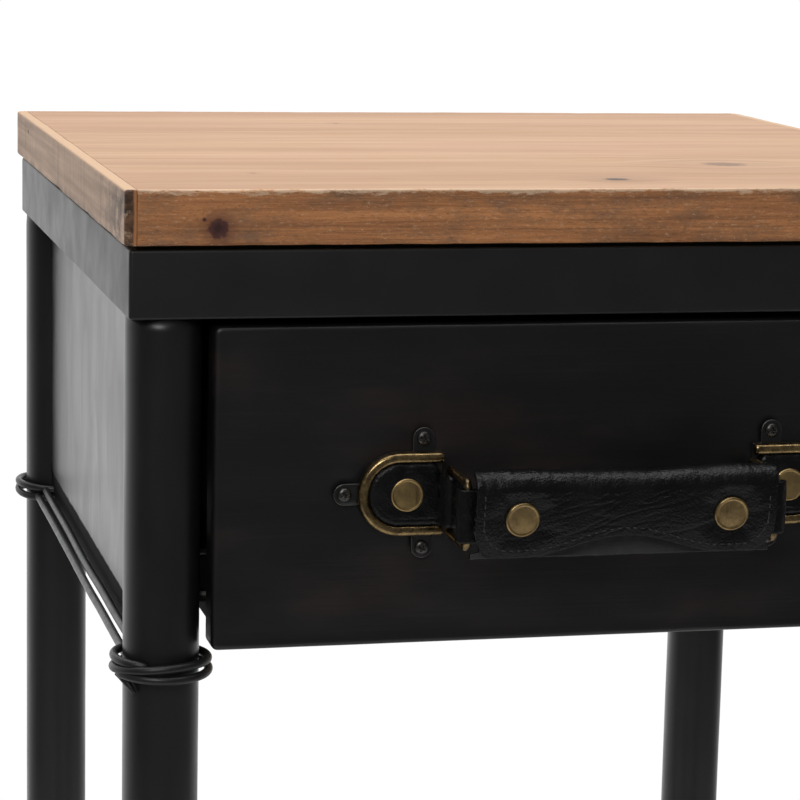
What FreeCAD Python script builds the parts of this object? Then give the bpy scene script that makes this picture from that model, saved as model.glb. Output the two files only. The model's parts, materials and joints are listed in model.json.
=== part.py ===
import FreeCAD, Part
import math
import os

# Side table with one drawer. Millimetres, +Z up.
# The origin lies on the floor, in the middle of the overall width and depth, handle included.
# +X is the table's right as seen from the drawer, and -Y is the way the drawer opens.

Vector = FreeCAD.Vector
right = Vector(1, 0, 0)
back = Vector(0, 1, 0)
up = Vector(0, 0, 1)

# Table: overall sizes
table_height = 600.0
frame_side = 350.0
top_thickness = 20.0
top_overhang = 2.0
lipping_width = 4.5
packing_thickness = 1.5
packing_width = 12.0
packing_inset = 3.0

# Frame under the top
apron_height = 25.0
apron_width = 30.0
apron_wall = 2.0
leg_diameter = 28.0
leg_wall = 1.5
leg_inset = 14.5
foot_height = 4.0
foot_plug_height = 15.0
foot_plug_play = 0.2

# Brackets that hold the wooden top on the frame
bracket_width = 24.0
bracket_reach = 22.0
bracket_thickness = 2.0
bracket_offset = 90.0
top_screw_diameter = 4.0
top_screw_bite = 14.0
top_screw_head = 8.0
top_screw_head_height = 2.5

# Sheet panels between the legs
panel_inset = 10.0
panel_depth = 12.0
panel_sheet = 1.2
panel_height = 131.3
panel_top_gap = 0.2
panel_corner = 12.0
panel_lip = 12.5
panel_lip_fall = 2.2
panel_leg_gap = 0.1
panel_wrap_gap = 0.3
panel_tuck = 14.3

# Wire wound twice round each leg, and the stretcher wires between the legs
wire_diameter = 3.2
wrap_radius = 17.5
wrap_low = 423.0
wrap_pitch = 4.2
stretcher_outer_inset = 4.5
stretcher_inner_inset = 7.6
stretcher_inner_drop = 0.8

# Drawer runners: steel channels on the table, rails on the drawer, nylon strips between
runner_lift = 22.2
runner_height = 20.0
runner_wall = 1.5
runner_near = 22.0
runner_far = 34.5
runner_end_inset = 26.0
rail_near = 29.0
rail_width = 7.0
rail_start = 30.0
rail_end = 318.0
glide_thickness = 1.5
glide_play = 0.3
stop_pin_diameter = 6.0
stop_pin_back = 9.0
stop_lug_start = 80.0
stop_lug_length = 4.0
crossbar_height = 24.0
crossbar_thickness = 3.0
bumper_diameter = 12.0
bumper_spacing = 160.0

# Drawer
drawer_front_width = 288.4
drawer_front_height = 119.0
drawer_top_gap = 2.7
skin = 1.2
skin_edge = 3.0
front_core = 12.0
drawer_board = 9.0
drawer_box_height = 106.0
drawer_box_lift = 2.0
bottom_thickness = 4.0
bottom_lift = 6.0
groove = 4.0
block_size = 15.0
block_height = 80.0
wood_screw = 3.5
wood_screw_head = 7.0
wood_screw_head_height = 2.2
front_screw_bite = 8.0
screw_row_spacing = 50.0
rail_screw_spacing = 110.0
rail_screw_cover = 1.0

# Handle: brass-rimmed brackets, leather tabs, rings and a folded leather grip
handle_drop = 89.7
plate_thickness = 1.2
rim_width = 4.0
rim_height = 3.5
rim_half_height = 15.5
rim_open_end = 60.0
rim_round_end = 91.6
lug_width = 7.9
lug_screw_up = 20.3
lug_screw_along = 67.0
lug_screw_out = 96.3
plate_screw = 2.6
plate_screw_head = 5.2
plate_screw_head_height = 1.5
plate_screw_length = 10.0
plate_screw_slot = 0.7
plate_screw_slot_depth = 0.6
plate_screw_slot_length = 3.2
tab_play = 0.2
tab_thickness = 2.6
tab_neck_setback = 1.0
tab_half_height = 9.1
tab_rivet_along = 73.6
tab_rivet_cap = 12.6
tab_rivet_cap_height = 1.6
rivet_shank = 4.0
ring_wire = 3.0
ring_along = 58.0
ring_drop = 2.3
ring_start = 5.0
ring_reach = 26.0
ring_half_height = 12.0
ring_corner = 2.4
ring_play = 0.05
open_pivot_play = 0.4
tab_fold_wall = 1.4
loop_wall = 2.0
loop_half_height = 9.6
loop_tongue = 2.6
loop_tongue_end = 32.0
grip_half_length = 56.4
grip_centre_out = 32.0
grip_centre_up = 7.6
grip_fold_radius = 6.6
grip_leather = 2.0
grip_core_gap = 0.3
grip_core_half_length = 30.0
back_half_length = 52.8
back_corner_half_length = 56.0
back_corner_up = -16.4
back_open_out = 33.0
flap_low = -17.7
flap_middle = -10.5
flap_corner = 10.0
flap_level_end = 36.0
flap_foot_out = 34.2
back_low = -20.0
back_foot_out = 28.6
grip_rivet_along = 39.2
grip_rivet_up = -3.0
grip_rivet_cap = 13.0
grip_rivet_cap_height = 1.5
grip_rivet_seat_out = 36.2
grip_rivet_tail = 9.0
grip_rivet_tail_height = 1.0

# How far a cutting shape runs past what it cuts, and how near counts as the same place
overrun = 1.0
same = 1e-6

# Levels and places worked out from the sizes above
half_side = frame_side / 2
leg_radius = leg_diameter / 2
wood_bottom = table_height - top_thickness
apron_top = wood_bottom - packing_thickness
apron_bottom = apron_top - apron_height
handle_reach = grip_centre_out + grip_fold_radius
wrap_overhang = wrap_radius + wire_diameter / 2 - leg_inset
front_y = -(frame_side + wrap_overhang - handle_reach) / 2
back_y = front_y + frame_side
leg_x = half_side - leg_inset
drawer_top = apron_bottom - drawer_top_gap
drawer_bottom = drawer_top - drawer_front_height
handle_z = apron_top - handle_drop
ring_z = handle_z - ring_drop
runner_middle = drawer_bottom + runner_lift
front_depth = skin + front_core
box_low = drawer_bottom + drawer_box_lift
box_half_width = half_side - rail_near - rail_width


def block(x0, x1, y0, y1, z0, z1):
    """A box between two corners given in the table's frame."""
    return Part.makeBox(x1 - x0, y1 - y0, z1 - z0, Vector(x0, y0, z0))


def mirrored(shape):
    """The same piece on the table's right side."""
    return shape.mirror(Vector(0, 0, 0), right)


def save(name, pieces):
    """Write one node: a single solid, or a group of separate ones."""
    solids = pieces if isinstance(pieces, list) else [pieces]
    shape = solids[0] if len(solids) == 1 else Part.makeCompound(solids)
    if not shape.isValid():
        raise ValueError(name + " is not a valid solid")
    shape.exportStep("parts/" + name + ".step")


def filleted(shape, radius, wanted):
    """Round the edges for which wanted(edge) is true."""
    return shape.makeFillet(radius, [edge for edge in shape.Edges if wanted(edge)])


# ---- wooden top

def top_board(number):
    depth = frame_side + 2 * top_overhang
    board = depth / 3
    start = front_y - top_overhang + number * board
    half = half_side + top_overhang - lipping_width
    return block(-half, half, start, start + board, wood_bottom, table_height)


def top_lipping():
    edge = -half_side - top_overhang
    start = front_y - top_overhang
    end = back_y + top_overhang
    return block(edge, edge + lipping_width, start, end, wood_bottom, table_height)


def packing_strips():
    outer = half_side - packing_inset
    inner = outer - packing_width
    near = front_y + packing_inset
    far = back_y - packing_inset
    side = block(-outer, -inner, near, far, apron_top, wood_bottom)
    front_strip = block(-inner, inner, near, near + packing_width, apron_top, wood_bottom)
    back_strip = block(-inner, inner, far - packing_width, far, apron_top, wood_bottom)
    return [side, mirrored(side), front_strip, back_strip]


# ---- steel frame

def apron_bar(x_middle, y_middle, quarter_turns):
    """One mitred tube of the frame, made along X and turned into place."""
    half = half_side
    outline = [Vector(-half, 0, 0), Vector(half, 0, 0),
               Vector(half - apron_width, apron_width, 0), Vector(-half + apron_width, apron_width, 0)]
    face = Part.Face(Part.makePolygon(outline + outline[:1]))
    bar = face.extrude(Vector(0, 0, apron_height))
    hollow = Part.makeBox(2 * half, apron_width - 2 * apron_wall, apron_height - 2 * apron_wall,
                          Vector(-half, apron_wall, apron_wall))
    bar = bar.cut(hollow)
    bar.translate(Vector(0, -half, 0))
    bar.rotate(Vector(0, 0, 0), up, 90 * quarter_turns)
    bar.translate(Vector(x_middle, y_middle, apron_bottom))
    return bar


def bracket_places():
    """Four places round the frame: x, y on the apron's inner face, and the turn about Z."""
    inner = half_side - apron_width
    middle_y = (front_y + back_y) / 2
    return [(-inner, middle_y - bracket_offset, 90), (-inner, middle_y + bracket_offset, 90),
            (inner, middle_y - bracket_offset, -90), (inner, middle_y + bracket_offset, -90)]


def top_bracket():
    half = bracket_width / 2
    upright = block(-half, half, -bracket_thickness, 0, wood_bottom - bracket_reach, wood_bottom)
    shelf = block(-half, half, -bracket_reach, 0, wood_bottom - bracket_thickness, wood_bottom)
    hole = Part.makeCylinder(top_screw_diameter / 2, bracket_thickness,
                             Vector(0, -bracket_reach / 2, wood_bottom - bracket_thickness))
    return upright.fuse(shelf).removeSplitter().cut(hole)


def top_screw():
    middle = Vector(0, -bracket_reach / 2, wood_bottom - bracket_thickness)
    shank = Part.makeCylinder(top_screw_diameter / 2, bracket_thickness + top_screw_bite, middle)
    head_base = middle - Vector(0, 0, top_screw_head_height)
    head = Part.makeCylinder(top_screw_head / 2, top_screw_head_height, head_base)
    return shank.fuse(head).removeSplitter()


def at_bracket_places(maker):
    """One copy of a bracket piece at each of the four places."""
    placed = []
    for x, y, turn in bracket_places():
        piece = maker()
        piece.rotate(Vector(0, 0, 0), up, turn)
        piece.translate(Vector(x, y, 0))
        placed.append(piece)
    return placed


def leg_centres():
    """The four leg axes by name."""
    near = front_y + leg_inset
    far = back_y - leg_inset
    return {"front_left": (-leg_x, near), "front_right": (leg_x, near),
            "back_left": (-leg_x, far), "back_right": (leg_x, far)}


def leg(x, y):
    length = apron_bottom - foot_height
    base = Vector(x, y, foot_height)
    return Part.makeCylinder(leg_radius, length, base).cut(
        Part.makeCylinder(leg_radius - leg_wall, length, base))


def foot_cap(x, y):
    sole = Part.makeCylinder(leg_radius, foot_height, Vector(x, y, 0))
    plug_radius = leg_radius - leg_wall - foot_plug_play / 2
    plug = Part.makeCylinder(plug_radius, foot_plug_height, Vector(x, y, foot_height))
    return sole.fuse(plug).removeSplitter()


# ---- sheet panels

def rounded_outline(length, inset, corner, y):
    """A rectangle with round corners in the plane across Y, inset all round from the pan's outline."""
    low = inset
    high = panel_height - inset
    end = length - inset
    s = corner * (1 - math.sqrt(0.5))

    def point(x, z):
        return Vector(x, y, z)

    corners = [(point(end - corner, low), point(end - s, low + s), point(end, low + corner)),
               (point(end, high - corner), point(end - s, high - s), point(end - corner, high)),
               (point(low + corner, high), point(low + s, high - s), point(low, high - corner)),
               (point(low, low + corner), point(low + s, low + s), point(low + corner, low))]
    edges = []
    for number, corner_points in enumerate(corners):
        edges.append(Part.Arc(*corner_points).toShape())
        following = corners[(number + 1) % len(corners)][0]
        edges.append(Part.makeLine(corner_points[2], following))
    return Part.Wire(edges)


def pan_block(length, shrink):
    """The pan's outer form, or its inner form when shrunk by the sheet: a flat field and a sloping lip."""
    corner = panel_corner + panel_lip - shrink
    fold = shrink + panel_lip_fall
    field = rounded_outline(length, shrink + panel_lip, panel_corner, shrink)
    slope = Part.makeLoft([field, rounded_outline(length, shrink, corner, fold)], True, True)
    wall = Part.Face(rounded_outline(length, shrink, corner, fold)).extrude(back * (panel_depth - fold))
    return slope.fuse(wall)


def pan(length):
    """A sheet pan along +X from 0, outer face at Y 0, open at the back."""
    return pan_block(length, 0).cut(pan_block(length, panel_sheet))


def without_legs(shape):
    """Trim a piece that meets the round legs."""
    for x, y in leg_centres().values():
        shape = shape.cut(Part.makeCylinder(leg_radius + panel_leg_gap, table_height, Vector(x, y, 0)))
    return shape


def without_wraps(shape):
    """Leave room for the wire that is wound round the legs."""
    radius = wrap_radius + wire_diameter / 2 + panel_wrap_gap
    low = wrap_low - wire_diameter / 2 - panel_wrap_gap
    height = wrap_pitch + wire_diameter + 2 * panel_wrap_gap
    for x, y in leg_centres().values():
        shape = shape.cut(Part.makeCylinder(radius, height, Vector(x, y, low)))
    return shape


def panel_bottom():
    return apron_bottom - panel_top_gap - panel_height


def side_panel():
    sheet = pan(frame_side - 2 * panel_tuck)
    sheet.rotate(Vector(0, 0, 0), up, -90)
    sheet.translate(Vector(-half_side + panel_inset, back_y - panel_tuck, panel_bottom()))
    return without_wraps(without_legs(sheet))


def back_panel():
    sheet = pan(frame_side - 2 * panel_tuck)
    sheet.rotate(Vector(0, 0, 0), up, 180)
    sheet.translate(Vector(half_side - panel_tuck, back_y - panel_inset, panel_bottom()))
    return without_wraps(without_legs(sheet))


# ---- wires

def leg_wrap(x, y):
    """Two turns of wire round a leg."""
    levels = [wrap_low, wrap_low + wrap_pitch]
    return [Part.makeTorus(wrap_radius, wire_diameter / 2, Vector(x, y, z)) for z in levels]


def wire(start, direction, length):
    return Part.makeCylinder(wire_diameter / 2, length, start, direction)


def stretcher(along_x):
    """The pair of straight wires of one side, trimmed where they meet the turns round the legs."""
    high = wrap_low + wrap_pitch - stretcher_inner_drop
    wires = []
    for inset, level in ((stretcher_outer_inset, wrap_low), (stretcher_inner_inset, high)):
        shift = math.sqrt(wrap_radius ** 2 - (leg_inset - inset) ** 2)
        start = leg_inset + shift
        length = frame_side - 2 * start
        if along_x:
            straight = wire(Vector(-half_side + start, back_y - inset, level), right, length)
        else:
            straight = wire(Vector(-half_side + inset, front_y + start, level), back, length)
        for x, y in leg_centres().values():
            for turn in leg_wrap(x, y):
                straight = straight.cut(turn)
        wires.append(straight.Solids[0])
    return wires


# ---- drawer runners on the table

def runner():
    near = -half_side + runner_near
    far = -half_side + runner_far
    start = front_y + runner_end_inset
    end = back_y - runner_end_inset
    low = runner_middle - runner_height / 2
    high = runner_middle + runner_height / 2
    outer = block(near, far, start, end, low, high)
    inner = block(near + runner_wall, far, start, end, low + runner_wall, high - runner_wall)
    return without_legs(outer.cut(inner))


def rail_half_height():
    return runner_height / 2 - runner_wall - glide_thickness - glide_play


def glide_strips():
    near = -half_side + rail_near
    far = -half_side + runner_far
    start = front_y + rail_start
    end = back_y - runner_end_inset - 2 * glide_play
    low = runner_middle - runner_height / 2 + runner_wall
    high = runner_middle + runner_height / 2 - runner_wall
    lower = block(near, far, start, end, low, low + glide_thickness)
    upper = block(near, far, start, end, high - glide_thickness, high)
    return [lower, upper, mirrored(lower), mirrored(upper)]


def stop_lugs():
    near = -half_side + runner_near + runner_wall
    far = -half_side + rail_near - 2 * glide_play
    start = front_y + stop_lug_start
    half = rail_half_height()
    lug = block(near, far, start, start + stop_lug_length, runner_middle - half, runner_middle + half)
    return [lug, mirrored(lug)]


def crossbar_front():
    return back_y - panel_inset - panel_depth - crossbar_thickness


def rear_crossbar():
    half = half_side - runner_near
    near = crossbar_front()
    bar = block(-half, half, near, near + crossbar_thickness,
                runner_middle - crossbar_height / 2, runner_middle + crossbar_height / 2)
    return without_legs(bar)


def drawer_bumpers():
    start = front_y + rail_end + glide_play
    length = crossbar_front() - start
    bumpers = []
    for side in (-1, 1):
        base = Vector(side * bumper_spacing / 2, start, runner_middle)
        bumpers.append(Part.makeCylinder(bumper_diameter / 2, length, base, back))
    return bumpers


# ---- drawer

def front_block(shrink):
    """The drawer front's block with soft front edges, shrunk all round by a sheet's thickness."""
    half = drawer_front_width / 2 - shrink
    body = block(-half, half, front_y + shrink, front_y + front_depth,
                 drawer_bottom + shrink, drawer_top - shrink)
    limit = front_y + shrink + same
    return filleted(body, skin_edge - shrink, lambda edge: edge.BoundBox.YMax < limit)


def bore_along_y(x, z, diameter, start_out, end_out):
    """A cylinder along Y between two distances out from the drawer front's face."""
    return Part.makeCylinder(diameter / 2, end_out - start_out,
                             Vector(x, front_y - start_out, z), -back)


def handle_shanks():
    """Where the handle's screws and rivets go into the drawer front."""
    holes = []
    for x, z in plate_screw_places():
        holes.append(bore_along_y(x, z, plate_screw, plate_thickness - plate_screw_length, plate_thickness))
    for x in (-tab_rivet_along, tab_rivet_along):
        holes.append(bore_along_y(x, handle_z, rivet_shank, -front_depth, plate_thickness))
    return holes


def drawer_front_skin():
    sheet = front_block(0).cut(front_block(skin))
    for hole in handle_shanks():
        sheet = sheet.cut(hole)
    return sheet


def drawer_front_core():
    core = front_block(skin)
    for hole in handle_shanks():
        core = core.cut(hole)
    for screw in front_screws():
        core = core.cut(screw)
    return core


def bottom_panel_block():
    half = box_half_width - drawer_board + groove
    low = box_low + bottom_lift
    return block(-half, half, front_y + front_depth, front_y + rail_end - drawer_board + groove,
                 low, low + bottom_thickness)


def drawer_side():
    side = block(-box_half_width, -box_half_width + drawer_board, front_y + front_depth, front_y + rail_end,
                 box_low, box_low + drawer_box_height)
    side = side.cut(bottom_panel_block())
    for screw in rail_screws_left():
        side = side.cut(screw)
    return side


def drawer_back():
    half = box_half_width - drawer_board
    end = front_y + rail_end
    panel = block(-half, half, end - drawer_board, end, box_low, box_low + drawer_box_height)
    return panel.cut(bottom_panel_block())


def block_x():
    return box_half_width - drawer_board - block_size / 2


def corner_blocks():
    low = box_low + bottom_lift + bottom_thickness
    start = front_y + front_depth
    half = block_size / 2
    body = block(-block_x() - half, -block_x() + half, start, start + block_size, low, low + block_height)
    for screw in front_screws():
        body = body.cut(screw)
    return [body, mirrored(body)]


def front_screws():
    """Two screws through each corner block into the drawer front."""
    low = box_low + bottom_lift + bottom_thickness
    head_end = front_y + front_depth + block_size
    screws = []
    for side in (-1, 1):
        for step in (-1, 1):
            z = low + block_height / 2 + step * screw_row_spacing / 2
            length = block_size + front_screw_bite
            tip = Vector(side * block_x(), head_end - length, z)
            shank = Part.makeCylinder(wood_screw / 2, length, tip, back)
            head_base = Vector(side * block_x(), head_end - wood_screw_head_height, z)
            head = Part.makeCone(wood_screw / 2, wood_screw_head / 2, wood_screw_head_height, head_base, back)
            screws.append(shank.fuse(head).removeSplitter())
    return screws


def rail():
    near = -half_side + rail_near
    half = rail_half_height()
    bar = block(near, near + rail_width, front_y + rail_start, front_y + rail_end,
                runner_middle - half, runner_middle + half)
    for screw in rail_screws_left():
        bar = bar.cut(screw)
    return bar


def rail_screws_left():
    """Three countersunk screws from inside the drawer through its side into the rail."""
    inner = -box_half_width + drawer_board
    length = drawer_board + rail_width - rail_screw_cover
    middle = front_y + (rail_start + rail_end) / 2
    screws = []
    for step in (-1, 0, 1):
        y = middle + step * rail_screw_spacing
        shank = Part.makeCylinder(wood_screw / 2, length, Vector(inner, y, runner_middle), -right)
        head = Part.makeCone(wood_screw_head / 2, wood_screw / 2, wood_screw_head_height,
                             Vector(inner, y, runner_middle), -right)
        screws.append(shank.fuse(head).removeSplitter())
    return screws


def stop_pins():
    near = -half_side + runner_near + runner_wall + 2 * glide_play
    length = -half_side + rail_near - near
    pin = Part.makeCylinder(stop_pin_diameter / 2, length,
                            Vector(near, front_y + rail_end - stop_pin_back, runner_middle), right)
    return [pin, mirrored(pin)]


# ---- handle brackets on the drawer front

def plate_screw_places():
    """Six screws: x and z in the table's frame."""
    places = []
    for side in (-1, 1):
        places.append((side * lug_screw_along, handle_z + lug_screw_up))
        places.append((side * lug_screw_along, handle_z - lug_screw_up))
        places.append((side * lug_screw_out, handle_z))
    return places


def rounded_strip(x0, x1, half_height, out0, out1):
    """A strip whose outer end, at x0, is a half circle."""
    centre = x0 + half_height
    disc = bore_along_y(centre, handle_z, 2 * half_height, out0, out1)
    body = block(centre, x1, front_y - out1, front_y - out0, handle_z - half_height, handle_z + half_height)
    return disc.fuse(body).removeSplitter()


def lug(x, z, dx, dz):
    """A screw lug that reaches from the plate to (x, z), from its side at (x + dx, z + dz)."""
    half = lug_width / 2
    tip = bore_along_y(x, z, lug_width, 0, plate_thickness)
    across_x = 0 if dx else half
    across_z = 0 if dz else half
    strip = block(min(x, x + dx) - across_x, max(x, x + dx) + across_x, front_y - plate_thickness, front_y,
                  min(z, z + dz) - across_z, max(z, z + dz) + across_z)
    return tip.fuse(strip)


def handle_plate():
    plate = rounded_strip(-rim_round_end, -rim_open_end, rim_half_height, 0, plate_thickness)
    plate = plate.fuse(lug(-lug_screw_along, handle_z + lug_screw_up, 0, -lug_screw_up / 2))
    plate = plate.fuse(lug(-lug_screw_along, handle_z - lug_screw_up, 0, lug_screw_up / 2))
    plate = plate.fuse(lug(-lug_screw_out, handle_z, lug_width, 0))
    plate = plate.removeSplitter()
    for hole in handle_shanks():
        plate = plate.cut(hole)
    return plate


def rim_profile(z):
    """The rim's D section at one height, flat on the plate, in the plane across X."""
    x = -rim_round_end + rim_half_height
    half = rim_width / 2
    flat = front_y - plate_thickness
    shoulder = flat - (rim_height - half)
    crown = flat - rim_height
    low_foot = Vector(x, flat, z - half)
    low_shoulder = Vector(x, shoulder, z - half)
    top = Vector(x, crown, z)
    high_shoulder = Vector(x, shoulder, z + half)
    high_foot = Vector(x, flat, z + half)
    edges = [Part.makeLine(low_foot, low_shoulder), Part.Arc(low_shoulder, top, high_shoulder).toShape(),
             Part.makeLine(high_shoulder, high_foot), Part.makeLine(high_foot, low_foot)]
    return Part.Face(Part.Wire(edges))


def handle_rim():
    """A half-round brass rod bent to a U that is open toward the grip."""
    x = -rim_round_end + rim_half_height
    middle = rim_half_height - rim_width / 2
    length = -rim_open_end - x
    upper = rim_profile(handle_z + middle)
    lower = rim_profile(handle_z - middle)
    bend = upper.revolve(Vector(x, front_y, handle_z), back, -180)
    rod = bend.fuse(upper.extrude(Vector(length, 0, 0)))
    return rod.fuse(lower.extrude(Vector(length, 0, 0))).removeSplitter()


def leather_tab():
    """A strap riveted inside the rim and folded round the ring's inner bar."""
    half = rim_half_height - rim_width - tab_play
    outer_end = -rim_round_end + rim_width + tab_play
    top_out = plate_thickness + tab_thickness
    neck_start = -rim_open_end - tab_neck_setback
    strap = rounded_strip(outer_end, neck_start, half, plate_thickness, top_out)
    neck = block(neck_start, -ring_along, front_y - top_out, front_y - plate_thickness,
                 ring_z - tab_half_height, ring_z + tab_half_height)
    bar = Vector(-ring_along, front_y - ring_start, ring_z - tab_half_height)
    fold = Part.makeCylinder(ring_wire / 2 + ring_play + tab_fold_wall, 2 * tab_half_height, bar)
    bore = Part.makeCylinder(ring_wire / 2 + ring_play, 2 * tab_half_height, bar)
    tab = strap.fuse(neck).fuse(fold).removeSplitter().cut(bore)
    return tab.cut(bore_along_y(-tab_rivet_along, handle_z, rivet_shank, plate_thickness, top_out))


def tab_rivets():
    base = plate_thickness + tab_thickness
    rivets = []
    for side in (-1, 1):
        x = side * tab_rivet_along
        shank = bore_along_y(x, handle_z, rivet_shank, -front_depth, base)
        cap = bore_along_y(x, handle_z, tab_rivet_cap, base, base + tab_rivet_cap_height)
        rivets.append(shank.fuse(cap).removeSplitter())
    return rivets


def plate_screws():
    head_top = plate_thickness + plate_screw_head_height
    half = plate_screw_slot_length / 2
    screws = []
    for x, z in plate_screw_places():
        shank = bore_along_y(x, z, plate_screw, plate_thickness - plate_screw_length, plate_thickness)
        head = bore_along_y(x, z, plate_screw_head, plate_thickness, head_top)
        screw = shank.fuse(head).removeSplitter()
        face = front_y - head_top
        w = plate_screw_slot / 2
        slot_floor = face + plate_screw_slot_depth
        screw = screw.cut(block(x - half, x + half, face, slot_floor, z - w, z + w))
        screws.append(screw.cut(block(x - w, x + w, face, slot_floor, z - half, z + half)))
    return screws


# ---- handle: rings and grip

def handle_ring():
    """A closed wire ring that stands straight out, with its two upright bars as pivots."""
    x = -ring_along
    near = front_y - ring_start
    far = near - ring_reach
    low = ring_z - ring_half_height
    high = ring_z + ring_half_height
    c = ring_corner
    s = ring_corner * (1 - math.sqrt(0.5))
    corners = [((near, high - c), (near - s, high - s), (near - c, high)),
               ((far + c, high), (far + s, high - s), (far, high - c)),
               ((far, low + c), (far + s, low + s), (far + c, low)),
               ((near - c, low), (near - s, low + s), (near, low + c))]
    edges = []
    for number, corner in enumerate(corners):
        points = [Vector(x, y, z) for y, z in corner]
        edges.append(Part.Arc(*points).toShape())
        following = corners[(number + 1) % len(corners)][0]
        edges.append(Part.makeLine(points[2], Vector(x, *following)))
    return swept_ring(edges)


def swept_ring(edges):
    """A round wire along a closed path of lines and arcs, made stretch by stretch."""
    radius = ring_wire / 2
    solid = None
    for edge in edges:
        start = edge.valueAt(edge.FirstParameter)
        tangent = edge.tangentAt(edge.FirstParameter)
        disc = Part.Face(Part.Wire(Part.makeCircle(radius, start, tangent)))
        if isinstance(edge.Curve, Part.Line):
            piece = disc.extrude(tangent * edge.Length)
        else:
            piece = disc.revolve(edge.Curve.Center, edge.Curve.Axis, 90)
        solid = piece if solid is None else solid.fuse(piece)
    return solid.removeSplitter()


def grip_section(shrink, low_front, low_back):
    """The folded leather's outline across X: round over the top, closing toward the bottom."""
    radius = grip_fold_radius - shrink
    z = handle_z + grip_centre_up
    y = front_y - grip_centre_out
    front_foot = Vector(-grip_half_length, front_y - flap_foot_out + shrink, handle_z + low_front)
    back_foot = Vector(-grip_half_length, front_y - back_foot_out - shrink, handle_z + low_back)
    front_side = Vector(-grip_half_length, y - radius, z)
    crown = Vector(-grip_half_length, y, z + radius)
    back_side = Vector(-grip_half_length, y + radius, z)
    edges = [Part.makeLine(front_foot, front_side), Part.Arc(front_side, crown, back_side).toShape(),
             Part.makeLine(back_side, back_foot), Part.makeLine(back_foot, front_foot)]
    face = Part.Face(Part.Wire(edges))
    return face.extrude(Vector(2 * grip_half_length, 0, 0))


def flap_trim():
    """What is cut away below the front flap's scalloped edge, which has rounded ends."""
    half = grip_half_length
    level = handle_z + flap_low
    floor = level - flap_corner

    def point(x, z):
        return Vector(x, front_y - handle_reach - overrun, z)

    s = flap_corner * (1 - math.sqrt(0.5))
    path = []
    for side in (-1, 1):
        end = point(side * half, level + flap_corner)
        bend = point(side * (half - s), level + s)
        start = point(side * (half - flap_corner), level)
        path.append((end, bend, start))
    left_end, left_bend, left_start = path[0]
    right_end, right_bend, right_start = path[1]
    left_level = point(-flap_level_end, level)
    right_level = point(flap_level_end, level)
    crest = point(0, handle_z + flap_middle)
    left_floor = point(-half, floor)
    right_floor = point(half, floor)
    edges = [Part.Arc(left_end, left_bend, left_start).toShape(), Part.makeLine(left_start, left_level),
             Part.Arc(left_level, crest, right_level).toShape(), Part.makeLine(right_level, right_start),
             Part.Arc(right_start, right_bend, right_end).toShape(), Part.makeLine(right_end, right_floor),
             Part.makeLine(right_floor, left_floor), Part.makeLine(left_floor, left_end)]
    depth = handle_reach + overrun - grip_centre_out
    return Part.Face(Part.Wire(edges)).extrude(Vector(0, depth, 0))


def ring_notches():
    """The room behind the flap's ends where the rings turn: the back wall stops short there."""
    back_face = front_y
    front_face = front_y - back_open_out
    low = handle_z + back_low
    high = handle_z + grip_centre_up + grip_fold_radius
    notches = []
    for half, floor in ((back_half_length, handle_z + back_corner_up), (back_corner_half_length, low)):
        notch = block(-grip_half_length, -half, front_face, back_face, floor, high)
        notches.extend([notch, mirrored(notch)])
    return notches


def grip_cover():
    """One piece of leather folded over the top, with a scalloped flap in front."""
    outer = grip_section(0, flap_low - overrun, back_low)
    inner = grip_section(grip_leather, flap_low - 2 * overrun, back_low - overrun)
    cover = outer.cut(inner)
    cover = cover.cut(flap_trim())
    for notch in ring_notches():
        cover = cover.cut(notch)
    for rivet in grip_rivets():
        cover = cover.cut(rivet)
    return max(cover.Solids, key=lambda solid: solid.Volume)


def grip_core():
    radius = grip_fold_radius - grip_leather - grip_core_gap
    start = Vector(-grip_core_half_length, front_y - grip_centre_out, handle_z + grip_centre_up)
    return Part.makeCylinder(radius, 2 * grip_core_half_length, start, right)


def grip_loop(play):
    """A leather strap folded round the ring's outer bar, with a tongue riveted into the grip."""
    half = loop_half_height
    bar = Vector(-ring_along, front_y - ring_start - ring_reach, ring_z - half)
    roll = Part.makeCylinder(ring_wire / 2 + play + loop_wall - ring_play, 2 * half, bar)
    bore = Part.makeCylinder(ring_wire / 2 + play, 2 * half, bar)
    middle = front_y - ring_start - ring_reach
    tongue = block(-ring_along, -loop_tongue_end, middle - loop_tongue / 2, middle + loop_tongue / 2,
                   ring_z - half, ring_z + half)
    strap = roll.common(grip_inside()).fuse(tongue.common(grip_inside())).removeSplitter().cut(bore)
    hole = bore_along_y(-grip_rivet_along, handle_z + grip_rivet_up, rivet_shank, 0, handle_reach)
    return strap.cut(hole)


def grip_inside():
    """The room for a strap between the cover's walls, and behind the flap at the open end."""
    inner = grip_section(grip_leather + grip_core_gap, flap_low - overrun, back_low)
    behind = block(-2 * grip_half_length, -back_half_length - grip_core_gap,
                   front_y - back_open_out + grip_core_gap, front_y,
                   handle_z + back_low, handle_z - back_low)
    return inner.fuse(behind)


def grip_rivets():
    tail_out = grip_centre_out - grip_fold_radius
    rivets = []
    for side in (-1, 1):
        x = side * grip_rivet_along
        z = handle_z + grip_rivet_up
        shank = bore_along_y(x, z, rivet_shank, tail_out, grip_rivet_seat_out)
        cap = bore_along_y(x, z, grip_rivet_cap, grip_rivet_seat_out,
                           grip_rivet_seat_out + grip_rivet_cap_height)
        tail = bore_along_y(x, z, grip_rivet_tail, tail_out, tail_out + grip_rivet_tail_height)
        rivets.append(shank.fuse(cap).fuse(tail).removeSplitter())
    return rivets


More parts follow.
